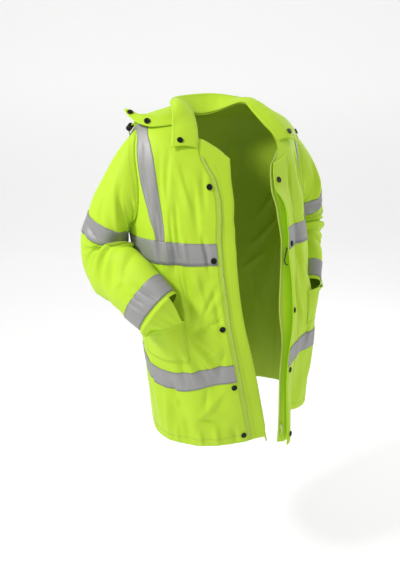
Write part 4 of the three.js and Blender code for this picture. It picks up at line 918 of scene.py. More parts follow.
# Flat cuts as (width, length, area) in metres and square metres.
def measure(sheet):
    p = sheet.points / 1000
    around = np.concatenate([p, p[:, :1]], 1) if sheet.closed else p
    width = np.linalg.norm(np.diff(around, axis=1), axis=-1).sum(1).max()
    length = np.linalg.norm(np.diff(p, axis=0), axis=-1).sum(0).max()
    a, b, c, d = around[:-1, :-1], around[1:, :-1], around[1:, 1:], around[:-1, 1:]
    area = (np.linalg.norm(np.cross(c - a, d - b), axis=-1) / 2).sum()
    return round(width, 3), round(length, 3), round(area, 4)


def cloth(name, sheet, inner, outer, rests_on, hold=None, pair=("shell", "shaded_lining")):
    # the inner faces take the second finish; by default a darker copy of the shell, painted shade
    made = wall(name + "_cloth", sheet, inner, outer, [finish_of(m) for m in pair], hold)
    settle(made, [name])
    width, length, area = measure(sheet)
    return made


# ---- materials


class Term:
    """A socket of a material. Arithmetic on it adds Math nodes."""

    def __init__(self, finish, socket):
        self.finish, self.socket = finish, socket

    def _join(self, operation, a, b):
        return self.finish.node("ShaderNodeMath", {"operation": operation}, a, b)

    def __add__(self, other):
        return self._join("ADD", self, other)

    def __sub__(self, other):
        return self._join("SUBTRACT", self, other)

    def __mul__(self, other):
        return self._join("MULTIPLY", self, other)

    def __truediv__(self, other):
        return self._join("DIVIDE", self, other)

    def __rsub__(self, other):
        return self._join("SUBTRACT", other, self)

    __radd__, __rmul__ = __add__, __mul__

    def sin(self):
        return self._join("SINE", self, 0.0)

    def abs(self):
        return self._join("ABSOLUTE", self, 0.0)

    def clamp(self):
        return self._join("MAXIMUM", self._join("MINIMUM", self, 1.0), 0.0)


class Finish:
    """A material's node tree around one Principled shader."""

    def __init__(self, name, colour, roughness, metallic=0.0, **constants):
        self.material = bpy.data.materials.new(name + "_finish")
        self.material.use_nodes = True
        self.tree = self.material.node_tree
        self.shader = self.tree.nodes["Principled BSDF"]
        self.set("Base Color", (*colour, 1.0))
        self.set("Roughness", roughness)
        self.set("Metallic", metallic)
        for key, value in constants.items():
            self.set(key.replace("_", " "), value)
        self.material.diffuse_color = (*colour, 1.0)

    def set(self, socket, value):
        self.link(self.shader.inputs[socket], value)

    def link(self, socket, value):
        if isinstance(value, Term):
            self.tree.links.new(value.socket, socket)
        else:
            socket.default_value = value

    def node(self, kind, settings=None, *inputs, out=0, **named):
        made = self.tree.nodes.new(kind)
        for key, value in (settings or {}).items():
            setattr(made, key, value)
        for i, value in enumerate(inputs):
            self.link(made.inputs[i], value)
        for key, value in named.items():
            self.link(made.inputs[key.replace("_", " ")], value)
        return Term(self, made.outputs[out])

    def place(self):
        return self.node("ShaderNodeTexCoord", out="Object")

    def cloth_axes(self):
        spot = self.node("ShaderNodeUVMap", {"uv_map": "cloth"}, out="UV")
        made = self.tree.nodes.new("ShaderNodeSeparateXYZ")
        self.link(made.inputs[0], spot)
        return Term(self, made.outputs[0]), Term(self, made.outputs[1])

    def noise(self, where, scale, detail=2.0, rough=0.5):
        return self.node("ShaderNodeTexNoise", None, out="Fac", Vector=where, Scale=scale,
                         Detail=detail, Roughness=rough)

    def between(self, factor, a, b):
        made = self.tree.nodes.new("ShaderNodeMix")
        made.data_type = "RGBA"
        self.link(made.inputs[0], factor)
        self.link(made.inputs[6], a if isinstance(a, Term) else (*a, 1.0))
        self.link(made.inputs[7], b if isinstance(b, Term) else (*b, 1.0))
        return Term(self, made.outputs[2])

    def bump(self, height, strength, depth):
        self.set("Normal", self.node("ShaderNodeBump", None, out="Normal", Strength=strength,
                                     Distance=depth, Height=height))


def shade(colour, factor):
    return tuple(min(c * factor, 1.0) for c in colour)


def woven(name, colour, pitch, roughness, painted_glow, depth=0.0002):
    """Coated plain-weave cloth: threads over and under, a crumpled coat, uneven colour, and a painted glow: a small
    constant emission of its own colour.
    """
    made = Finish(name, colour, roughness, Specular_IOR_Level=0.22, Emission_Strength=painted_glow)
    u, v = made.cloth_axes()
    turn = 2 * math.pi / pitch
    threads = (u * turn).sin() * (v * turn).sin()
    slubs = made.noise(made.place(), 900.0, 1.0)
    crumple = made.noise(made.place(), 55.0, 4.0, 0.55)
    broad = made.noise(made.place(), 9.0, 2.0)
    made.set("Base Color", made.between(broad * 0.7 + crumple * 0.3, shade(colour, 0.9), shade(colour, 1.07)))
    # painted glow: the cloth emits its own colour, lightening it in light and shade alike
    made.set("Emission Color", (*colour, 1.0))
    made.set("Roughness", crumple * 0.22 + threads * 0.04 + (roughness - 0.11))
    made.bump(threads * 0.35 + slubs * 0.25 + crumple * 2.4, 0.5, depth)
    return made.material


def tape_finish(name, colour):
    """Glass-bead tape: fine beads, a pressed diamond mesh and darker bands along both edges."""
    made = Finish(name, colour, 0.42, 0.25)
    u, v = made.cloth_axes()
    spot = made.place()
    beads = made.node("ShaderNodeTexVoronoi", {"feature": "F1"}, out="Distance", Vector=spot, Scale=2200.0)
    wear = made.noise(spot, 60.0, 4.0, 0.6)
    broad = made.noise(spot, 14.0, 2.0)
    mesh = ((u + v) * 1100.0).sin() * ((u - v) * 1100.0).sin()
    # a mask of the last few millimetres at both edges of the tape, darkened below
    edge = (((v - 0.025).abs() - 0.0228) * 900.0).clamp()
    tone = made.between(broad * 0.6 + wear * 0.4, shade(colour, 0.82), shade(colour, 1.14))
    made.set("Base Color", made.between(edge * 0.45, tone, shade(colour, 0.35)))
    made.set("Roughness", wear * 0.2 + 0.46)
    made.bump(beads * 0.6 + mesh * 0.25 + wear * 1.2, 0.35, 0.00015)
    return made.material


def moulded(name, colour, roughness, grain=900.0, metallic=0.0, **constants):
    """Moulded or enamelled trim: fine grain, rubbed and duller in places."""
    made = Finish(name, colour, roughness, metallic, **constants)
    spot = made.place()
    fine = made.noise(spot, grain, 3.0, 0.6)
    rub = made.noise(spot, 130.0, 3.0)
    made.set("Base Color", made.between(rub, shade(colour, 0.8), shade(colour, 1.25)))
    made.set("Roughness", rub * 0.25 + (roughness - 0.1))
    made.bump(fine, 0.3, 0.00008)
    return made.material


def braided(name, colour, pitch, roughness):
    """Thread and braid: strands that cross on a slant."""
    made = Finish(name, colour, roughness, Sheen_Weight=0.15)
    x = made.tree.nodes.new("ShaderNodeSeparateXYZ")
    made.link(x.inputs[0], made.place())
    a, b, c = (Term(made, x.outputs[k]) for k in range(3))
    turn = 2 * math.pi / pitch
    strands = ((a + b + c) * turn).sin() * ((a - b + c) * turn).sin()
    fuzz = made.noise(made.place(), 1500.0, 2.0)
    made.set("Base Color", made.between(strands * 0.35 + fuzz * 0.3 + 0.25, shade(colour, 0.7), shade(colour, 1.12)))
    made.set("Roughness", fuzz * 0.2 + (roughness - 0.1))
    made.bump(strands * 0.7 + fuzz * 0.3, 0.6, 0.0003)
    return made.material


def finish_of(name):
    """The finish of that name, made at its first use. The frame's own materials have plain names."""
    if name + "_finish" in bpy.data.materials:
        return bpy.data.materials[name + "_finish"]
    c = bpy.context.scene.jacket_colours
    w = bpy.context.scene.jacket_sizes.weave
    makers = {
        "shell": lambda: woven("shell", c.shell, w, 0.55, c.painted_glow),
        # painted shade: a darker copy of the shell cloth for the inner faces
        "shaded_lining": lambda: woven("shaded_lining", c.shaded_lining, w * 0.6, 0.5, c.painted_glow * 0.3, 0.0001),
        "tape": lambda: tape_finish("tape", c.tape),
        "zip_tape": lambda: woven("zip_tape", c.zip_tape, w * 1.4, 0.7, c.painted_glow * 0.5, 0.0004),
        "teeth": lambda: moulded("teeth", c.teeth, 0.35),
        "enamel": lambda: moulded("enamel", c.enamel, 0.35, 700.0, 0.2, Coat_Weight=0.4),
        "snap": lambda: moulded("snap", c.black, 0.45, Specular_IOR_Level=0.25),
        "thread": lambda: braided("thread", c.thread, 0.0012, 0.7),
        "tape_thread": lambda: braided("tape_thread", shade(c.tape, 0.75), 0.0012, 0.7),
        "cord": lambda: braided("cord", c.shell, 0.0021, 0.75),
        "dark_cord": lambda: braided("dark_cord", c.black, 0.0021, 0.7),
        "floor": lambda: stage_finish("floor", c.floor),
    }
    return makers[name]()


def stage_finish(name, colour):
    made = Finish(name, colour, 0.8, Emission_Strength=0.38)
    made.set("Emission Color", (1.0, 1.0, 1.0, 1.0))
    speck = made.noise(made.place(), 6.0, 2.0)
    made.set("Base Color", made.between(speck, shade(colour, 0.985), colour))
    return made.material


# ---- repeats, made with Geometry Nodes


def tree_of(name, inputs):
    tree = bpy.data.node_groups.new(name, "GeometryNodeTree")
    tree.interface.new_socket("Geometry", in_out="INPUT", socket_type="NodeSocketGeometry")
    for label, kind in inputs:
        tree.interface.new_socket(label, in_out="INPUT", socket_type=kind)
    tree.interface.new_socket("Geometry", in_out="OUTPUT", socket_type="NodeSocketGeometry")
    return tree


def add_node(tree, kind, links=None, **settings):
    made = tree.nodes.new(kind)
    for key, value in settings.items():
        setattr(made, key, value)
    for key, value in (links or {}).items():
        if isinstance(value, bpy.types.NodeSocket):
            tree.links.new(value, made.inputs[key])
        else:
            made.inputs[key].default_value = value
    return made


def along_path_tree():
    """Copies of a shape at even steps along paths, standing on the outward direction."""
    name = "Copies along paths"
    if name in bpy.data.node_groups:
        return bpy.data.node_groups[name]
    tree = tree_of(name, [("Shape", "NodeSocketObject"), ("Step", "NodeSocketFloat"),
                          ("Finish", "NodeSocketMaterial")])
    source = tree.nodes.new("NodeGroupInput").outputs
    curve = add_node(tree, "GeometryNodeMeshToCurve", {"Mesh": source["Geometry"]})
    even = add_node(tree, "GeometryNodeResampleCurve",
                    {"Curve": curve.outputs[0], "Length": source["Step"]}, mode="LENGTH")
    points = add_node(tree, "GeometryNodeCurveToPoints", {"Curve": even.outputs[0]}, mode="EVALUATED")
    out = add_node(tree, "GeometryNodeInputNamedAttribute", {"Name": "out"}, data_type="FLOAT_VECTOR")
    first = add_node(tree, "FunctionNodeAlignRotationToVector",
                     {"Vector": points.outputs["Tangent"]}, axis="X")
    second = add_node(tree, "FunctionNodeAlignRotationToVector",
                      {"Rotation": first.outputs[0], "Vector": out.outputs[0]}, axis="Z",
                      pivot_axis="X")
    shape = add_node(tree, "GeometryNodeObjectInfo", {"Object": source["Shape"]})
    copies = add_node(tree, "GeometryNodeInstanceOnPoints",
                      {"Points": points.outputs["Points"], "Instance": shape.outputs["Geometry"],
                       "Rotation": second.outputs[0]})
    return finish_tree(tree, copies.outputs[0], source["Finish"])


def on_points_tree():
    """A copy of a shape on each point, standing on its outward direction."""
    name = "Copies on points"
    if name in bpy.data.node_groups:
        return bpy.data.node_groups[name]
    tree = tree_of(name, [("Shape", "NodeSocketObject"), ("Finish", "NodeSocketMaterial")])
    source = tree.nodes.new("NodeGroupInput").outputs
    out = add_node(tree, "GeometryNodeInputNamedAttribute", {"Name": "out"}, data_type="FLOAT_VECTOR")
    turn = add_node(tree, "FunctionNodeAlignRotationToVector", {"Vector": out.outputs[0]}, axis="Z")
    shape = add_node(tree, "GeometryNodeObjectInfo", {"Object": source["Shape"]})
    copies = add_node(tree, "GeometryNodeInstanceOnPoints",
                      {"Points": source["Geometry"], "Instance": shape.outputs["Geometry"],
                       "Rotation": turn.outputs[0]})
    return finish_tree(tree, copies.outputs[0], source["Finish"])


def finish_tree(tree, copies, material):
    real = add_node(tree, "GeometryNodeRealizeInstances", {0: copies})
    done = add_node(tree, "GeometryNodeSetMaterial", {"Geometry": real.outputs[0], "Material": material})
    end = tree.nodes.new("NodeGroupOutput")
    tree.links.new(done.outputs[0], end.inputs[0])
    return tree


def grown(name, tree, lines, values, edges=True):
    """The tree's result on lines of (points, outward directions), as one plain mesh."""
    mesh = bpy.data.meshes.new(name + "_paths")
    points, outs, joins, base = [], [], [], 0
    for place, out in lines:
        points.append(place)
        outs.append(out)
        if edges:
            joins += [(base + i, base + i + 1) for i in range(len(place) - 1)]
        base += len(place)
    mesh.from_pydata((np.vstack(points) / 1000).tolist(), joins, [])
    layer = mesh.attributes.new("out", "FLOAT_VECTOR", "POINT")
    layer.data.foreach_set("vector", np.vstack(outs).astype(np.float32).ravel())
    carrier = bpy.data.objects.new(name + "_paths", mesh)
    bpy.context.scene.collection.objects.link(carrier)
    modifier = carrier.modifiers.new("Repeat", "NODES")
    modifier.node_group = tree
    for item in tree.interface.items_tree:
        if item.in_out == "INPUT" and item.name in values:
            modifier[item.identifier] = values[item.name]
    carrier.update_tag()
    graph = bpy.context.evaluated_depsgraph_get()
    result = bpy.data.meshes.new_from_object(carrier.evaluated_get(graph))
    result.name = name
    carrier.modifiers.clear()
    bpy.data.objects.remove(carrier)
    made = bpy.data.objects.new(name, result)
    bpy.context.scene.collection.objects.link(made)
    result.polygons.foreach_set("use_smooth", np.ones(len(result.polygons), bool))
    return made


def lathe(name, profile, segments, material=None):
    """A closed turned shape round Z from radius and height pairs, in millimetres."""
    turn = 2 * np.pi * np.arange(segments) / segments
    points, faces, rings = [], [], []
    for r, z in profile:
        if r < 1e-6:
            rings.append([len(points)])
            points.append((0, 0, z))
        else:
            rings.append(list(range(len(points), len(points) + segments)))
            points += [(r * math.cos(t), r * math.sin(t), z) for t in turn]
    for a, b in zip(rings, rings[1:]):
        for k in range(segments):
            j = (k + 1) % segments
            face = [a[k % len(a)], a[j % len(a)], b[j % len(b)], b[k % len(b)]]
            faces.append(list(dict.fromkeys(face)))
    mesh = bpy.data.meshes.new(name)
    mesh.from_pydata([tuple(v / 1000 for v in p) for p in points], [], faces)
    if material:
        mesh.materials.append(material)
    mesh.polygons.foreach_set("use_smooth", np.ones(len(mesh.polygons), bool))
    mesh.update()
    made = bpy.data.objects.new(name, mesh)
    bpy.context.scene.collection.objects.link(made)
    return made


def turned_to(made, place, out):
    """Puts a shape that stands on Z at a place, its place in its mesh."""
    turn = Vector((0, 0, 1)).rotation_difference(Vector(out)).to_matrix().to_4x4()
    made.data.transform(Matrix.Translation(Vector(place) / 1000) @ turn)
    return made


def remove(made):
    bpy.data.objects.remove(made)


# ---- operators


class Sizes(bpy.types.PropertyGroup):
    """Sizes that a user would change."""
    weave: FloatProperty(name="Weave", description="Width of one thread repeat", default=0.0011, unit="LENGTH")
    stitch_step: FloatProperty(name="Stitch step", description="From one stitch to the next",
                               default=0.0034, unit="LENGTH")
    stitch_length: FloatProperty(name="Stitch length", description="What shows of one stitch",
                                 default=0.0026, unit="LENGTH")
    stitch_width: FloatProperty(name="Stitch width", description="Thickness of the thread",
                                default=0.0006, unit="LENGTH")
    tooth_step: FloatProperty(name="Tooth step", description="From one zip tooth to the next",
                              default=0.0025, unit="LENGTH")
    snap_radius: FloatProperty(name="Snap radius", description="Radius of a snap cap",
                               default=0.0075, unit="LENGTH")
    snap_height: FloatProperty(name="Snap height", description="Height of a snap cap",
                               default=0.003, unit="LENGTH")
    segments: IntProperty(name="Snap segments", description="Sides of a snap cap", default=28)


def colour(label, text, rgb):
    return FloatVectorProperty(name=label, description=text, subtype="COLOR", size=3, min=0, max=1,
                               default=rgb)


class Colours(bpy.types.PropertyGroup):
    """Colours that a user would change."""
    shell: colour("Shell", "The outer cloth", (0.5, 0.74, 0.035))
    # painted shade: the inner faces get a darker copy of the shell colour, standing in for the shade inside the
    # jacket
    shaded_lining: colour("Lining", "The inner face of the cloth", (0.33, 0.47, 0.025))
    tape: colour("Tape", "The reflective tape", (0.35, 0.35, 0.345))
    thread: colour("Thread", "The stitching", (0.4, 0.5, 0.07))
    zip_tape: colour("Zip tape", "The woven part of the zip", (0.46, 0.66, 0.06))
    teeth: colour("Teeth", "The zip's teeth", (0.5, 0.66, 0.14))
    enamel: colour("Slider", "The slider and its pull", (0.62, 0.72, 0.24))
    black: colour("Black", "Snaps, cord lock and dark cord", (0.004, 0.004, 0.005))
    floor: colour("Floor", "The floor and backdrop", (0.8, 0.8, 0.8))
    # painted glow: constant emission of the cloth's colour, standing in for its fluorescent brightness
    painted_glow: FloatProperty(name="Glow", description="Fluorescence of the outer cloth", default=0.06, min=0)


class FrontsOperator(bpy.types.Operator):
    """Makes the two fronts and the back"""
    bl_idname = "jacket.panels"
    bl_label = "Fronts and back"

    def execute(self, context):
        half = SEAM_GAP / 2
        model = cut_jacket()
        for name in ("right", "left"):
            panel = model["front_" + name].inset(top=half, last=half)
            cloth("front_" + name, panel, -CLOTH, 0, ["sleeve_" + name, "back"])
        panel = model["back"].inset(top=half, first=half, last=half)
        cloth("back", panel, -CLOTH, 0, ["front_right", "front_left"])
        return {"FINISHED"}


class SleevesOperator(bpy.types.Operator):
    """Makes the two sleeves"""
    bl_idname = "jacket.sleeves"
    bl_label = "Sleeves"

    def execute(self, context):
        model = cut_jacket()
        for name, sign in (("right", -1), ("left", 1)):
            def hold(way, sign=sign):
                way = way.copy()
                way[0, :, 0] = np.where(way[0, :, 0] * sign < 0, 0, way[0, :, 0])
                return way

            cloth("sleeve_" + name, model["sleeve_" + name], -CLOTH, 0, ["front_" + name], hold=hold)
        return {"FINISHED"}


class CollarOperator(bpy.types.Operator):
    """Makes the collar"""
    bl_idname = "jacket.collar"
    bl_label = "Collar"

    def execute(self, context):
        cloth("collar", cut_jacket()["collar"], -CLOTH / 2, CLOTH / 2, ["back"],
              pair=("shell", "shell"))
        return {"FINISHED"}


class HoodOperator(bpy.types.Operator):
    """Makes the hood, laid back"""
    bl_idname = "jacket.hood"
    bl_label = "Hood"

    def execute(self, context):
        cloth("hood", cut_jacket()["hood"], -CLOTH / 2, CLOTH / 2, ["back"],
              pair=("shell", "shell"))
        return {"FINISHED"}


class FlapsOperator(bpy.types.Operator):
    """Makes the storm flaps over and behind the zip"""
    bl_idname = "jacket.storm_flaps"
    bl_label = "Storm flaps"

    def execute(self, context):
        model = cut_jacket()
        cloth("storm_flap_inner", model["storm_flap_inner"], -CLOTH, 0, ["front_right"],
              pair=("shell", "shell"))
        cloth("storm_flap_outer", model["storm_flap_outer"], 0, CLOTH, ["front_left"],
              pair=("shell", "shell"))
        return {"FINISHED"}


class PocketsOperator(bpy.types.Operator):
    """Makes the patch pockets and their flaps"""
    bl_idname = "jacket.pockets"
    bl_label = "Pockets"

    def execute(self, context):
        model = cut_jacket()
        for name in ("right", "left"):
            patch = model["pocket_" + name].inset(top=4, first=1, last=1)
            cloth("pocket_" + name, patch, 0.2, 0.2 + CLOTH, ["front_" + name])
            cloth("pocket_flap_" + name, model["pocket_flap_" + name], 0, CLOTH,
                  ["pocket_" + name], pair=("shell", "shell"))
        return {"FINISHED"}


TAPE_EDGES = {"top": SEAM_GAP, "bottom": SEAM_GAP, "first": 1, "last": 1}


def tape_strips():
    """Every strip of tape: its sheet and how far over the sheet it starts."""
    model = cut_jacket()
    tape_from = (FRONT_COLUMNS[0] + FRONT_COLUMNS[1]) * FINE
    tape_to = tape_from + 2 * FINE
    last = sum(FRONT_COLUMNS) * FINE
    back_last = model["back"].points.shape[1] - 1
    back_from = BACK_COLUMNS[0] * FINE
    bands = {"waist": WAIST_TAPE_TOP, "hem": HEM_TAPE_TOP}
    brace = [0, row_of(WAIST_TAPE_TOP)]
    strips = {}
    for name in ("right", "left"):
        front = model["front_" + name]
        strips["brace_tape_front_" + name] = (front.cut(brace, [tape_from, tape_to]), SEAM_GAP)
        for band, level in bands.items():
            rows = [row_of(level), row_of(level + TAPE_WIDTH)]
            start = 3 * FINE if name == "left" else 0
            strips[f"{band}_tape_front_{name}"] = (front.cut(rows, [start, last]), SEAM_GAP)
        sleeve = model["sleeve_" + name]
        rings = {"upper": 4 * FINE, "cuff": sleeve.points.shape[0] - 1 - 3 * FINE}
        for tape, ring in rings.items():
            part = sleeve.cut([ring, ring + 2 * FINE], [0, sleeve.points.shape[1]], closed=True)
            strips[f"sleeve_tape_{tape}_{name}"] = (part, SEAM_GAP)
    back = model["back"]
    strips["brace_tape_back_right"] = (back.cut(brace, [back_from, back_from + 2 * FINE]), SEAM_GAP)
    strips["brace_tape_back_left"] = (
        back.cut(brace, [back_last - back_from - 2 * FINE, back_last - back_from]), SEAM_GAP)
    for band, level in bands.items():
        rows = [row_of(level), row_of(level + TAPE_WIDTH)]
        strips[band + "_tape_back"] = (back.cut(rows, [0, back_last]), SEAM_GAP)
        first = LEVELS.index(level) * FINE
        end = LEVELS.index(level + TAPE_WIDTH) * FINE
        part = model["storm_flap_outer"].cut([first, end], [0, FLAP_COLUMNS * FINE])
        strips[band + "_tape_flap"] = (part, CLOTH + SEAM_GAP)
    return strips


class TapesOperator(bpy.types.Operator):
    """Lays the reflective tape on the cloth"""
    bl_idname = "jacket.tapes"
    bl_label = "Reflective tape"

    def execute(self, context):
        for name, (sheet, start) in tape_strips().items():
            upright = name.startswith("brace")
            if upright:  # its length runs down the rows
                sheet = Sheet(sheet.points.swapaxes(0, 1)[::-1], sheet.normals.swapaxes(0, 1)[::-1])
                sheet = sheet.inset(top=1, bottom=1, first=SEAM_GAP, last=SEAM_GAP)
            elif not sheet.closed:
                sheet = sheet.inset(**TAPE_EDGES)
            cloth(name, sheet, start, start + TAPE, [carrier_of(name)],
                  pair=("tape", "tape"))
        return {"FINISHED"}


def carrier_of(tape):
    if tape.startswith("sleeve"):
        return "sleeve_" + tape.split("_")[-1]
    if tape.endswith("flap"):
        return "storm_flap_outer"
    return "back" if "back" in tape else "front_" + tape.split("_")[-1]


class ZipOperator(bpy.types.Operator):
    """Makes the two halves of the zip with their teeth"""
    bl_idname = "jacket.zip"
    bl_label = "Zip"

    def execute(self, context):
        sizes = context.scene.jacket_sizes
        tooth = mesh_object("tooth", *block(2.0, 3.4, 1.6))
        for name in ("right", "left"):
            tape = zip_strip(name, SEAM_GAP + 0.1, SEAM_GAP + 0.1 + ZIP_WIDTH, 4 * 2)
            cloth("zip_" + name, tape.inset(bottom=1), -1.5, -0.4, ["front_" + name],
                  pair=("zip_tape", "zip_tape"))
            line = zip_strip(name, ZIP_WIDTH - 3.2, ZIP_WIDTH - 1.2, 2, -0.1)
            lines = [(line.points[2:-3, 1], line.normals[2:-3, 1])]
            teeth = grown("zip_teeth_" + name, along_path_tree(), lines,
                          {"Shape": tooth, "Step": sizes.tooth_step, "Finish": finish_of("teeth")})
            settle(teeth, [])
        remove(tooth)
        return {"FINISHED"}


def block(length, width, height):
    """A bevelled block's points and faces: 24 corners cut down to a few dozen faces."""
    x, y, z = length / 2, width / 2, height / 2
    cut = min(x, y, z) * 0.35
    points = []
    for sx in (-1, 1):
        for sy in (-1, 1):
            for sz in (-1, 1):
                points += [(sx * x, sy * (y - cut), sz * (z - cut)), (sx * (x - cut), sy * y, sz * (z - cut)),
                           (sx * (x - cut), sy * (y - cut), sz * z)]
    hull = bpy.data.meshes.new("hull")
    made = bmesh.new()
    for p in points:
        made.verts.new(p)
    bmesh.ops.convex_hull(made, input=made.verts)
    bmesh.ops.dissolve_limit(made, angle_limit=0.02, verts=made.verts, edges=made.edges)
    bmesh.ops.recalc_face_normals(made, faces=made.faces)
    made.to_mesh(hull)
    made.free()
    out = [tuple(v.co) for v in hull.vertices]
    faces = [tuple(f.vertices) for f in hull.polygons]
    bpy.data.meshes.remove(hull)
    return out, faces


def snap_spots():
    model = cut_jacket()
    spots = {}
    for i, level in enumerate(SNAP_LEVELS):
        on_tape = WAIST_TAPE_TOP < level < WAIST_TAPE_TOP + TAPE_WIDTH
        edge = between(FRONT_LINES["right"], float(level))[2]
        place, out = body(-(edge + degrees_for(10)), float(level))
        spots[f"snap_right_{i + 1}"] = (place, out, TAPE + 1 if on_tape else 0.8)
        share = np.interp(level, LEVELS, np.linspace(0, 1, len(LEVELS)))
        place, out = model["storm_flap_outer"].spot(share, 0.74)
        spots[f"snap_left_{i + 1}"] = (place, out, CLOTH + (TAPE + 1 if on_tape else 0.5))
    for name, (sheet, down, across, high) in LOOSE_SNAPS.items():
        place, out = model[sheet].spot(down, across)
        spots[name] = (place, -out, CLOTH / 2 + high)
    return spots


class SnapsOperator(bpy.types.Operator):
    """Makes the snap caps"""
    bl_idname = "jacket.snaps"
    bl_label = "Snaps"

    def execute(self, context):
        s = context.scene.jacket_sizes
        r, h = s.snap_radius * 1000, s.snap_height * 1000
        profile = [(0, 0), (r * 0.9, 0), (r * 0.97, h * 0.12), (r, h * 0.35), (r * 0.96, h * 0.62),
                   (r * 0.86, h * 0.88), (r * 0.74, h), (r * 0.64, h * 0.96), (r * 0.58, h * 0.8),
                   (r * 0.3, h * 0.72), (0, h * 0.7)]
        cap = lathe("cap", profile, s.segments)
        spots = snap_spots()
        places = np.array([p + o * high for p, o, high in spots.values()])
        outs = np.array([o for _, o, _ in spots.values()])
        made = grown("snap_caps", on_points_tree(), [(places, outs)],
                     {"Shape": cap, "Finish": finish_of("snap")}, edges=False)
        settle(made, list(spots))
        remove(cap)
        return {"FINISHED"}


def cord_points(spots, count=24):
    points = []
    for angle, level, high in spots:
        place, out = body(angle, level, fine=False)
        points.append(place + out * high)
    return spline(points, np.linspace(0, 1, count))


def cord_curve(name, points, radius, material):
    data = bpy.data.curves.new(name, "CURVE")
    data.dimensions = "3D"
    data.bevel_depth = radius / 1000
    data.bevel_resolution = 3
    data.use_fill_caps = True
    line = data.splines.new("POLY")
    line.points.add(len(points) - 1)
    for spot, p in zip(line.points, points):
        spot.co = (*(p / 1000), 1)
    data.materials.append(material)
    made = bpy.data.objects.new(name, data)
    bpy.context.scene.collection.objects.link(made)
    return made


class CordsOperator(bpy.types.Operator):
    """Makes the hood's cord with its lock, and the waist cord's end"""
    bl_idname = "jacket.cords"
    bl_label = "Cords"

    def execute(self, context):
        places, ways, _, length = cord_points(HOOD_CORD)
        at, way, _, _ = cord_points(HOOD_CORD, 51)
        spot = int(round(LOCK["at"] * 50))
        r, half, hole = LOCK["radius"], LOCK["length"] / 2, LOCK["hole"]
        profile = [(hole, -half), (r - 1.6, -half), (r - 0.4, -half + 0.8), (r, -half + 2), (r, -1.2),
                   (r - 0.7, -0.8), (r - 0.7, 0.4), (r, 0.8), (r, half - 2), (r - 0.4, half - 0.8),
                   (r - 1.6, half), (hole, half), (CORD_RADIUS + 0.15, half - 1.5),
                   (CORD_RADIUS + 0.15, -half + 1.5), (hole, -half)]
        lock = lathe("cord_lock_barrel", profile[:-1] + [profile[0]], 28, finish_of("snap"))
        turned_to(lock, at[spot], way[spot])
        settle(lock, ["cord_lock"])
        cord = settle(cord_curve("hood_cord_braid", places, CORD_RADIUS, finish_of("cord")),
                      ["hood_cord"])
        places[0] / 1000
        round(length / 1000, 4)
        places, _, _, length = cord_points(WAIST_CORD)
        cord = settle(cord_curve("waist_cord_braid", places, CORD_RADIUS, finish_of("dark_cord")),
                      ["waist_cord"])
        places[0] / 1000
        round(length / 1000, 4)
        return {"FINISHED"}


def slider_axes():
    edge = between(FRONT_LINES["left"], float(SLIDER["level"]))[2]
    place, out = body(edge - degrees_for(ZIP_WIDTH * 0.6), float(SLIDER["level"]), fine=False)
    across = np.array([1, 0.18, 0])
    across = unit(across - out * (across @ out))
    return place, across, np.cross(out, across), out


def on_slider(points, up, off):
    """Points of the slider's own axes as points of the jacket."""
    place, across, upwards, out = slider_axes()
    p = np.asarray(points, float)
    return place + across * p[:, :1] + upwards * (p[:, 1:2] + up) + out * (p[:, 2:] + off)


def plate(outline, thick, crown, holes=()):
    """A plate with a rounded rim from an outline, as points and faces; holes are loops."""
    made = bmesh.new()
    for loop in [outline, *holes]:
        verts = [made.verts.new((x, y, 0)) for x, y in loop]
        for a, b in zip(verts, verts[1:] + verts[:1]):
            made.edges.new((a, b))
    bmesh.ops.triangle_fill(made, edges=made.edges, use_beauty=True, use_dissolve=False)
    inner = bmesh.ops.extrude_face_region(made, geom=list(made.faces))
    top = [v for v in inner["geom"] if isinstance(v, bmesh.types.BMVert)]
    for v in top:
        v.co.z = thick
    bmesh.ops.recalc_face_normals(made, faces=made.faces)
    rims = [e for e in made.edges if len(e.link_faces) == 2 and e.calc_face_angle(0) > 0.9
            and abs(e.verts[0].co.z - e.verts[1].co.z) < 1e-6]
    bmesh.ops.bevel(made, geom=rims, offset=crown, segments=2, affect="EDGES", profile=0.5)
    bmesh.ops.recalc_face_normals(made, faces=made.faces)
    made.verts.index_update()
    points = [tuple(v.co) for v in made.verts]
    faces = [[v.index for v in f.verts] for f in made.faces]
    made.free()
    return points, faces


def rounded(wide, low, high, corner, steps=5):
    x = wide / 2
    out = []
    for cx, cy, start in ((x - corner, low + corner, -90), (x - corner, high - corner, 0),
                          (-x + corner, high - corner, 90), (-x + corner, low + corner, 180)):
        for k in range(steps + 1):
            t = math.radians(start + 90 * k / steps)
            out.append((cx + corner * math.cos(t), cy + corner * math.sin(t)))
    return out


def circle(x, y, r, steps=20):
    return [(x + r * math.cos(2 * math.pi * k / steps), y + r * math.sin(2 * math.pi * k / steps))
            for k in range(steps)]


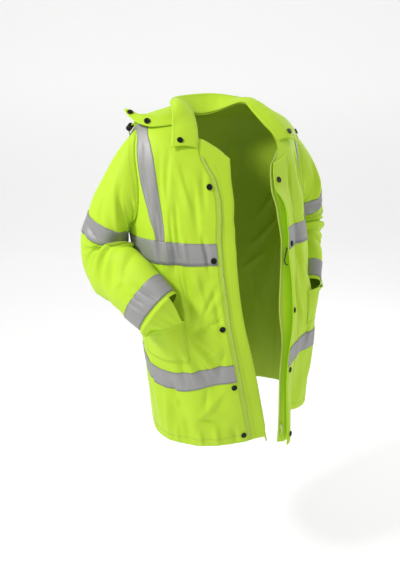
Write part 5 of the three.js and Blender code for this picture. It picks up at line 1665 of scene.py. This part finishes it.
class SliderOperator(bpy.types.Operator):
    """Makes the zip slider and its pull tab"""
    bl_idname = "jacket.slider"
    bl_label = "Slider"

    def execute(self, context):
        tall, wide, thick = SLIDER["tall"], SLIDER["wide"], SLIDER["thick"]
        parts = [(plate(rounded(wide, -tall / 2, tall / 2, 2.4), 1.3, 0.4), 0.0),
                 (plate(rounded(wide * 0.92, -tall * 0.46, tall * 0.46, 2.4), 1.3, 0.4), thick - 1.9),
                 (plate(rounded(2.2, -tall * 0.3, tall * 0.3, 1.0), thick - 1.6, 0.3), 0.6),
                 (plate(rounded(2.6, -2.6, 4.6, 1.2), 1.2, 0.35), thick - 1.0)]
        points, faces = [], []
        for (p, f), z in parts:
            base = len(points)
            points += [(x, y, q + z) for x, y, q in p]
            faces += [[base + i for i in face] for face in f]
        made = mesh_object("zip_slider_body", on_slider(points, 0, SLIDER["lift"]), faces,
                           materials=[finish_of("enamel")], shade=False)
        settle(made, ["zip_slider"])
        hang = SLIDER["lift"] + thick + PULL["gap"]
        low = PULL["top"] - PULL["tall"]
        tab = plate(rounded(PULL["wide"], low, PULL["top"], 2.4), PULL["thick"], 0.35,
                    [circle(0, low + 3.9, 1.6)])
        made = mesh_object("zip_pull", on_slider(tab[0], PULL["up"], hang), tab[1],
                           materials=[finish_of("enamel")], shade=False)
        settle(made, ["zip_pull_tab"], on="zip_pull")
        return {"FINISHED"}


def seam_lines():
    """Lines of stitches: for each finish, the points and outward directions of its lines."""
    model = cut_jacket()
    shell, tape = [], []

    def add(sheet, down, across, high, lines=shell):
        place, out = sheet.spot(down, across)
        lines.append((place + out * high, out))

    ends = np.linspace(0.002, 0.998, 240)
    for name, (sheet, start) in tape_strips().items():
        high = start + TAPE + 0.05
        if name.startswith("brace"):
            for across in (0.05, 0.95):
                add(sheet, ends * 0.99, across, high, tape)
        else:
            span = np.linspace(0.012, 0.988, 240)
            if sheet.closed:
                span = np.linspace(0, 1, 240)
            for down in (0.055, 0.945):
                add(sheet, down, span, high, tape)
    for name in ("right", "left"):
        front = model["front_" + name]
        lower = np.linspace(0.06, 0.998, 300)
        add(front, lower, 0.012, 0.1)
        add(front, np.linspace(0.03, PIT_ROW / (front.points.shape[0] - 1), 90), 0.985, 0.1)
        add(front, 0.006, np.linspace(0.33, 0.97, 60), 0.1)
        for down in (0.974, 0.977):
            add(front, down, ends, 0.1)
        sleeve = model["sleeve_" + name]
        closed = Sheet(np.concatenate([sleeve.points, sleeve.points[:, :1]], 1),
                       np.concatenate([sleeve.normals, sleeve.normals[:, :1]], 1))
        for down in (0.03, 0.968):
            add(closed, down, np.linspace(0, 1, 160), 0.1)
        pocket = model["pocket_" + name]
        for edge in (0.02, 0.055):
            add(pocket, np.linspace(0.1, 0.97, 60), edge, CLOTH + 0.3)
            add(pocket, np.linspace(0.1, 0.97, 60), 1 - edge, CLOTH + 0.3)
            add(pocket, 1 - edge * 0.9, np.linspace(0.02, 0.98, 90), CLOTH + 0.3)
        add(pocket, 0.2, np.linspace(0.02, 0.98, 90), CLOTH + 0.3)
    back = model["back"]
    for down in (0.974, 0.977):
        add(back, down, ends, 0.1)
    add(back, 0.006, np.linspace(0.02, 0.36, 60), 0.1)
    add(back, 0.006, np.linspace(0.64, 0.98, 60), 0.1)
    for edge in (0.006, 0.994):
        add(back, np.linspace(0.36, 0.995, 200), edge, 0.1)
    collar, hood = model["collar"], model["hood"]
    for high in (CLOTH / 2 + 0.1, -CLOTH / 2 - 0.1):
        add(collar, 0.9, ends, high)
        add(collar, 0.08, ends, high)
        add(hood, 0.93, ends, high)
        add(hood, 0.955, ends, high)
    inner, outer = model["storm_flap_inner"], model["storm_flap_outer"]
    for across in (0.93, 0.55):
        add(inner, np.linspace(0.03, 0.995, 260), across, 0.1)
    for across in (0.03, 0.1, 0.93):
        add(outer, np.linspace(0.005, 0.995, 260), across, CLOTH + 0.1)
    return {"thread": shell, "tape_thread": tape}


class StitchesOperator(bpy.types.Operator):
    """Sews the stitches along seams, hems and tape"""
    bl_idname = "jacket.stitches"
    bl_label = "Stitching"

    def execute(self, context):
        s = context.scene.jacket_sizes
        r, half = s.stitch_width * 500, s.stitch_length * 500
        stitch = lathe("stitch", [(0, -half), (r * 0.8, -half * 0.8), (r, 0), (r * 0.8, half * 0.8), (0, half)], 5)
        stitch.data.transform(Matrix.Rotation(math.pi / 2, 4, "Y"))
        for finish, lines in seam_lines().items():
            made = grown("stitches_" + finish, along_path_tree(), lines,
                         {"Shape": stitch, "Step": s.stitch_step, "Finish": finish_of(finish)})
            settle(made, [])
        remove(stitch)
        return {"FINISHED"}


class StageOperator(bpy.types.Operator):
    """Sets the floor, the lights and the camera"""
    bl_idname = "jacket.stage"
    bl_label = "Stage"

    def execute(self, context):
        scene = context.scene
        size, level, bend = 9000, -1460, 1500
        turn = np.linspace(0, np.pi / 2, 17)
        line = [(-size, level)] + [(3500 + bend * math.sin(t), level + bend * (1 - math.cos(t))) for t in turn]
        line.append((3500 + bend, 7000))
        points = [(x, y, z) for y, z in line for x in (-size, size)]
        faces = [(2 * k, 2 * k + 1, 2 * k + 3, 2 * k + 2) for k in range(len(line) - 1)]
        sweep = mesh_object("floor", points, faces, materials=[finish_of("floor")])
        sweep.data.transform(Matrix.Rotation(math.radians(CAMERA["turn"]), 4, "Z"))
        world = bpy.data.worlds.new("Studio")
        scene.world = world
        world.use_nodes = True
        world.node_tree.nodes["Background"].inputs[0].default_value = (1.0, 1.0, 1.0, 1.0)
        world.node_tree.nodes["Background"].inputs[1].default_value = 0.4
        scene.view_settings.view_transform = "Standard"
        for name, place, aim, span, watts in (
                ("Key", (-2.2, -0.2, 1.5), (0, 0, -0.4), 0.5, 56),
                ("Fill", (0.2, -2.6, 0.9), (0, 0, -0.4), 2.0, 6),
                ("Rim", (2.2, 0.2, 0.7), (0, 0, -0.4), 1.4, 18)):
            data = bpy.data.lights.new(name, "AREA")
            data.energy, data.size = watts, span
            light = bpy.data.objects.new(name, data)
            light.location = place
            light.rotation_euler = (Vector(aim) - Vector(place)).to_track_quat("-Z", "Y").to_euler()
            scene.collection.objects.link(light)
        turn = math.radians(CAMERA["turn"])
        data = bpy.data.cameras.new("Camera")
        data.lens, data.sensor_width, data.shift_x = CAMERA["lens"], 36, CAMERA["shift"]
        camera = bpy.data.objects.new("Camera", data)
        back = CAMERA["back"] / 1000
        camera.location = (back * math.sin(turn), -back * math.cos(turn), CAMERA["high"] / 1000)
        camera.rotation_euler = (math.radians(90 - CAMERA["pitch"]), 0, turn)
        scene.collection.objects.link(camera)
        scene.camera = camera
        return {"FINISHED"}


class JacketPanel(bpy.types.Panel):
    """Lists what makes the jacket"""
    bl_idname = "VIEW3D_PT_jacket"
    bl_label = "Hi-vis Work Jacket"
    bl_space_type = "VIEW_3D"
    bl_region_type = "UI"
    bl_category = "Jacket"

    def draw(self, context):
        for group in (context.scene.jacket_sizes, context.scene.jacket_colours):
            for key in group.__annotations__:
                self.layout.prop(group, key)
        for made in OPERATORS:
            self.layout.operator(made.bl_idname)


OPERATORS = [
    StageOperator, CordsOperator, FrontsOperator, SleevesOperator, CollarOperator, HoodOperator,
    FlapsOperator, PocketsOperator, TapesOperator, ZipOperator, SnapsOperator, SliderOperator,
    StitchesOperator,
]
CLASSES = [Sizes, Colours, *OPERATORS, JacketPanel]


def register():
    for made in CLASSES:
        bpy.utils.register_class(made)
    bpy.types.Scene.jacket_sizes = PointerProperty(type=Sizes)
    bpy.types.Scene.jacket_colours = PointerProperty(type=Colours)


def unregister():
    del bpy.types.Scene.jacket_sizes
    del bpy.types.Scene.jacket_colours
    for made in reversed(CLASSES):
        bpy.utils.unregister_class(made)


def main():
    register()
    for made in OPERATORS:
        group, name = made.bl_idname.split(".")
        getattr(getattr(bpy.ops, group), name)()


if __name__ == "__main__":
    main()
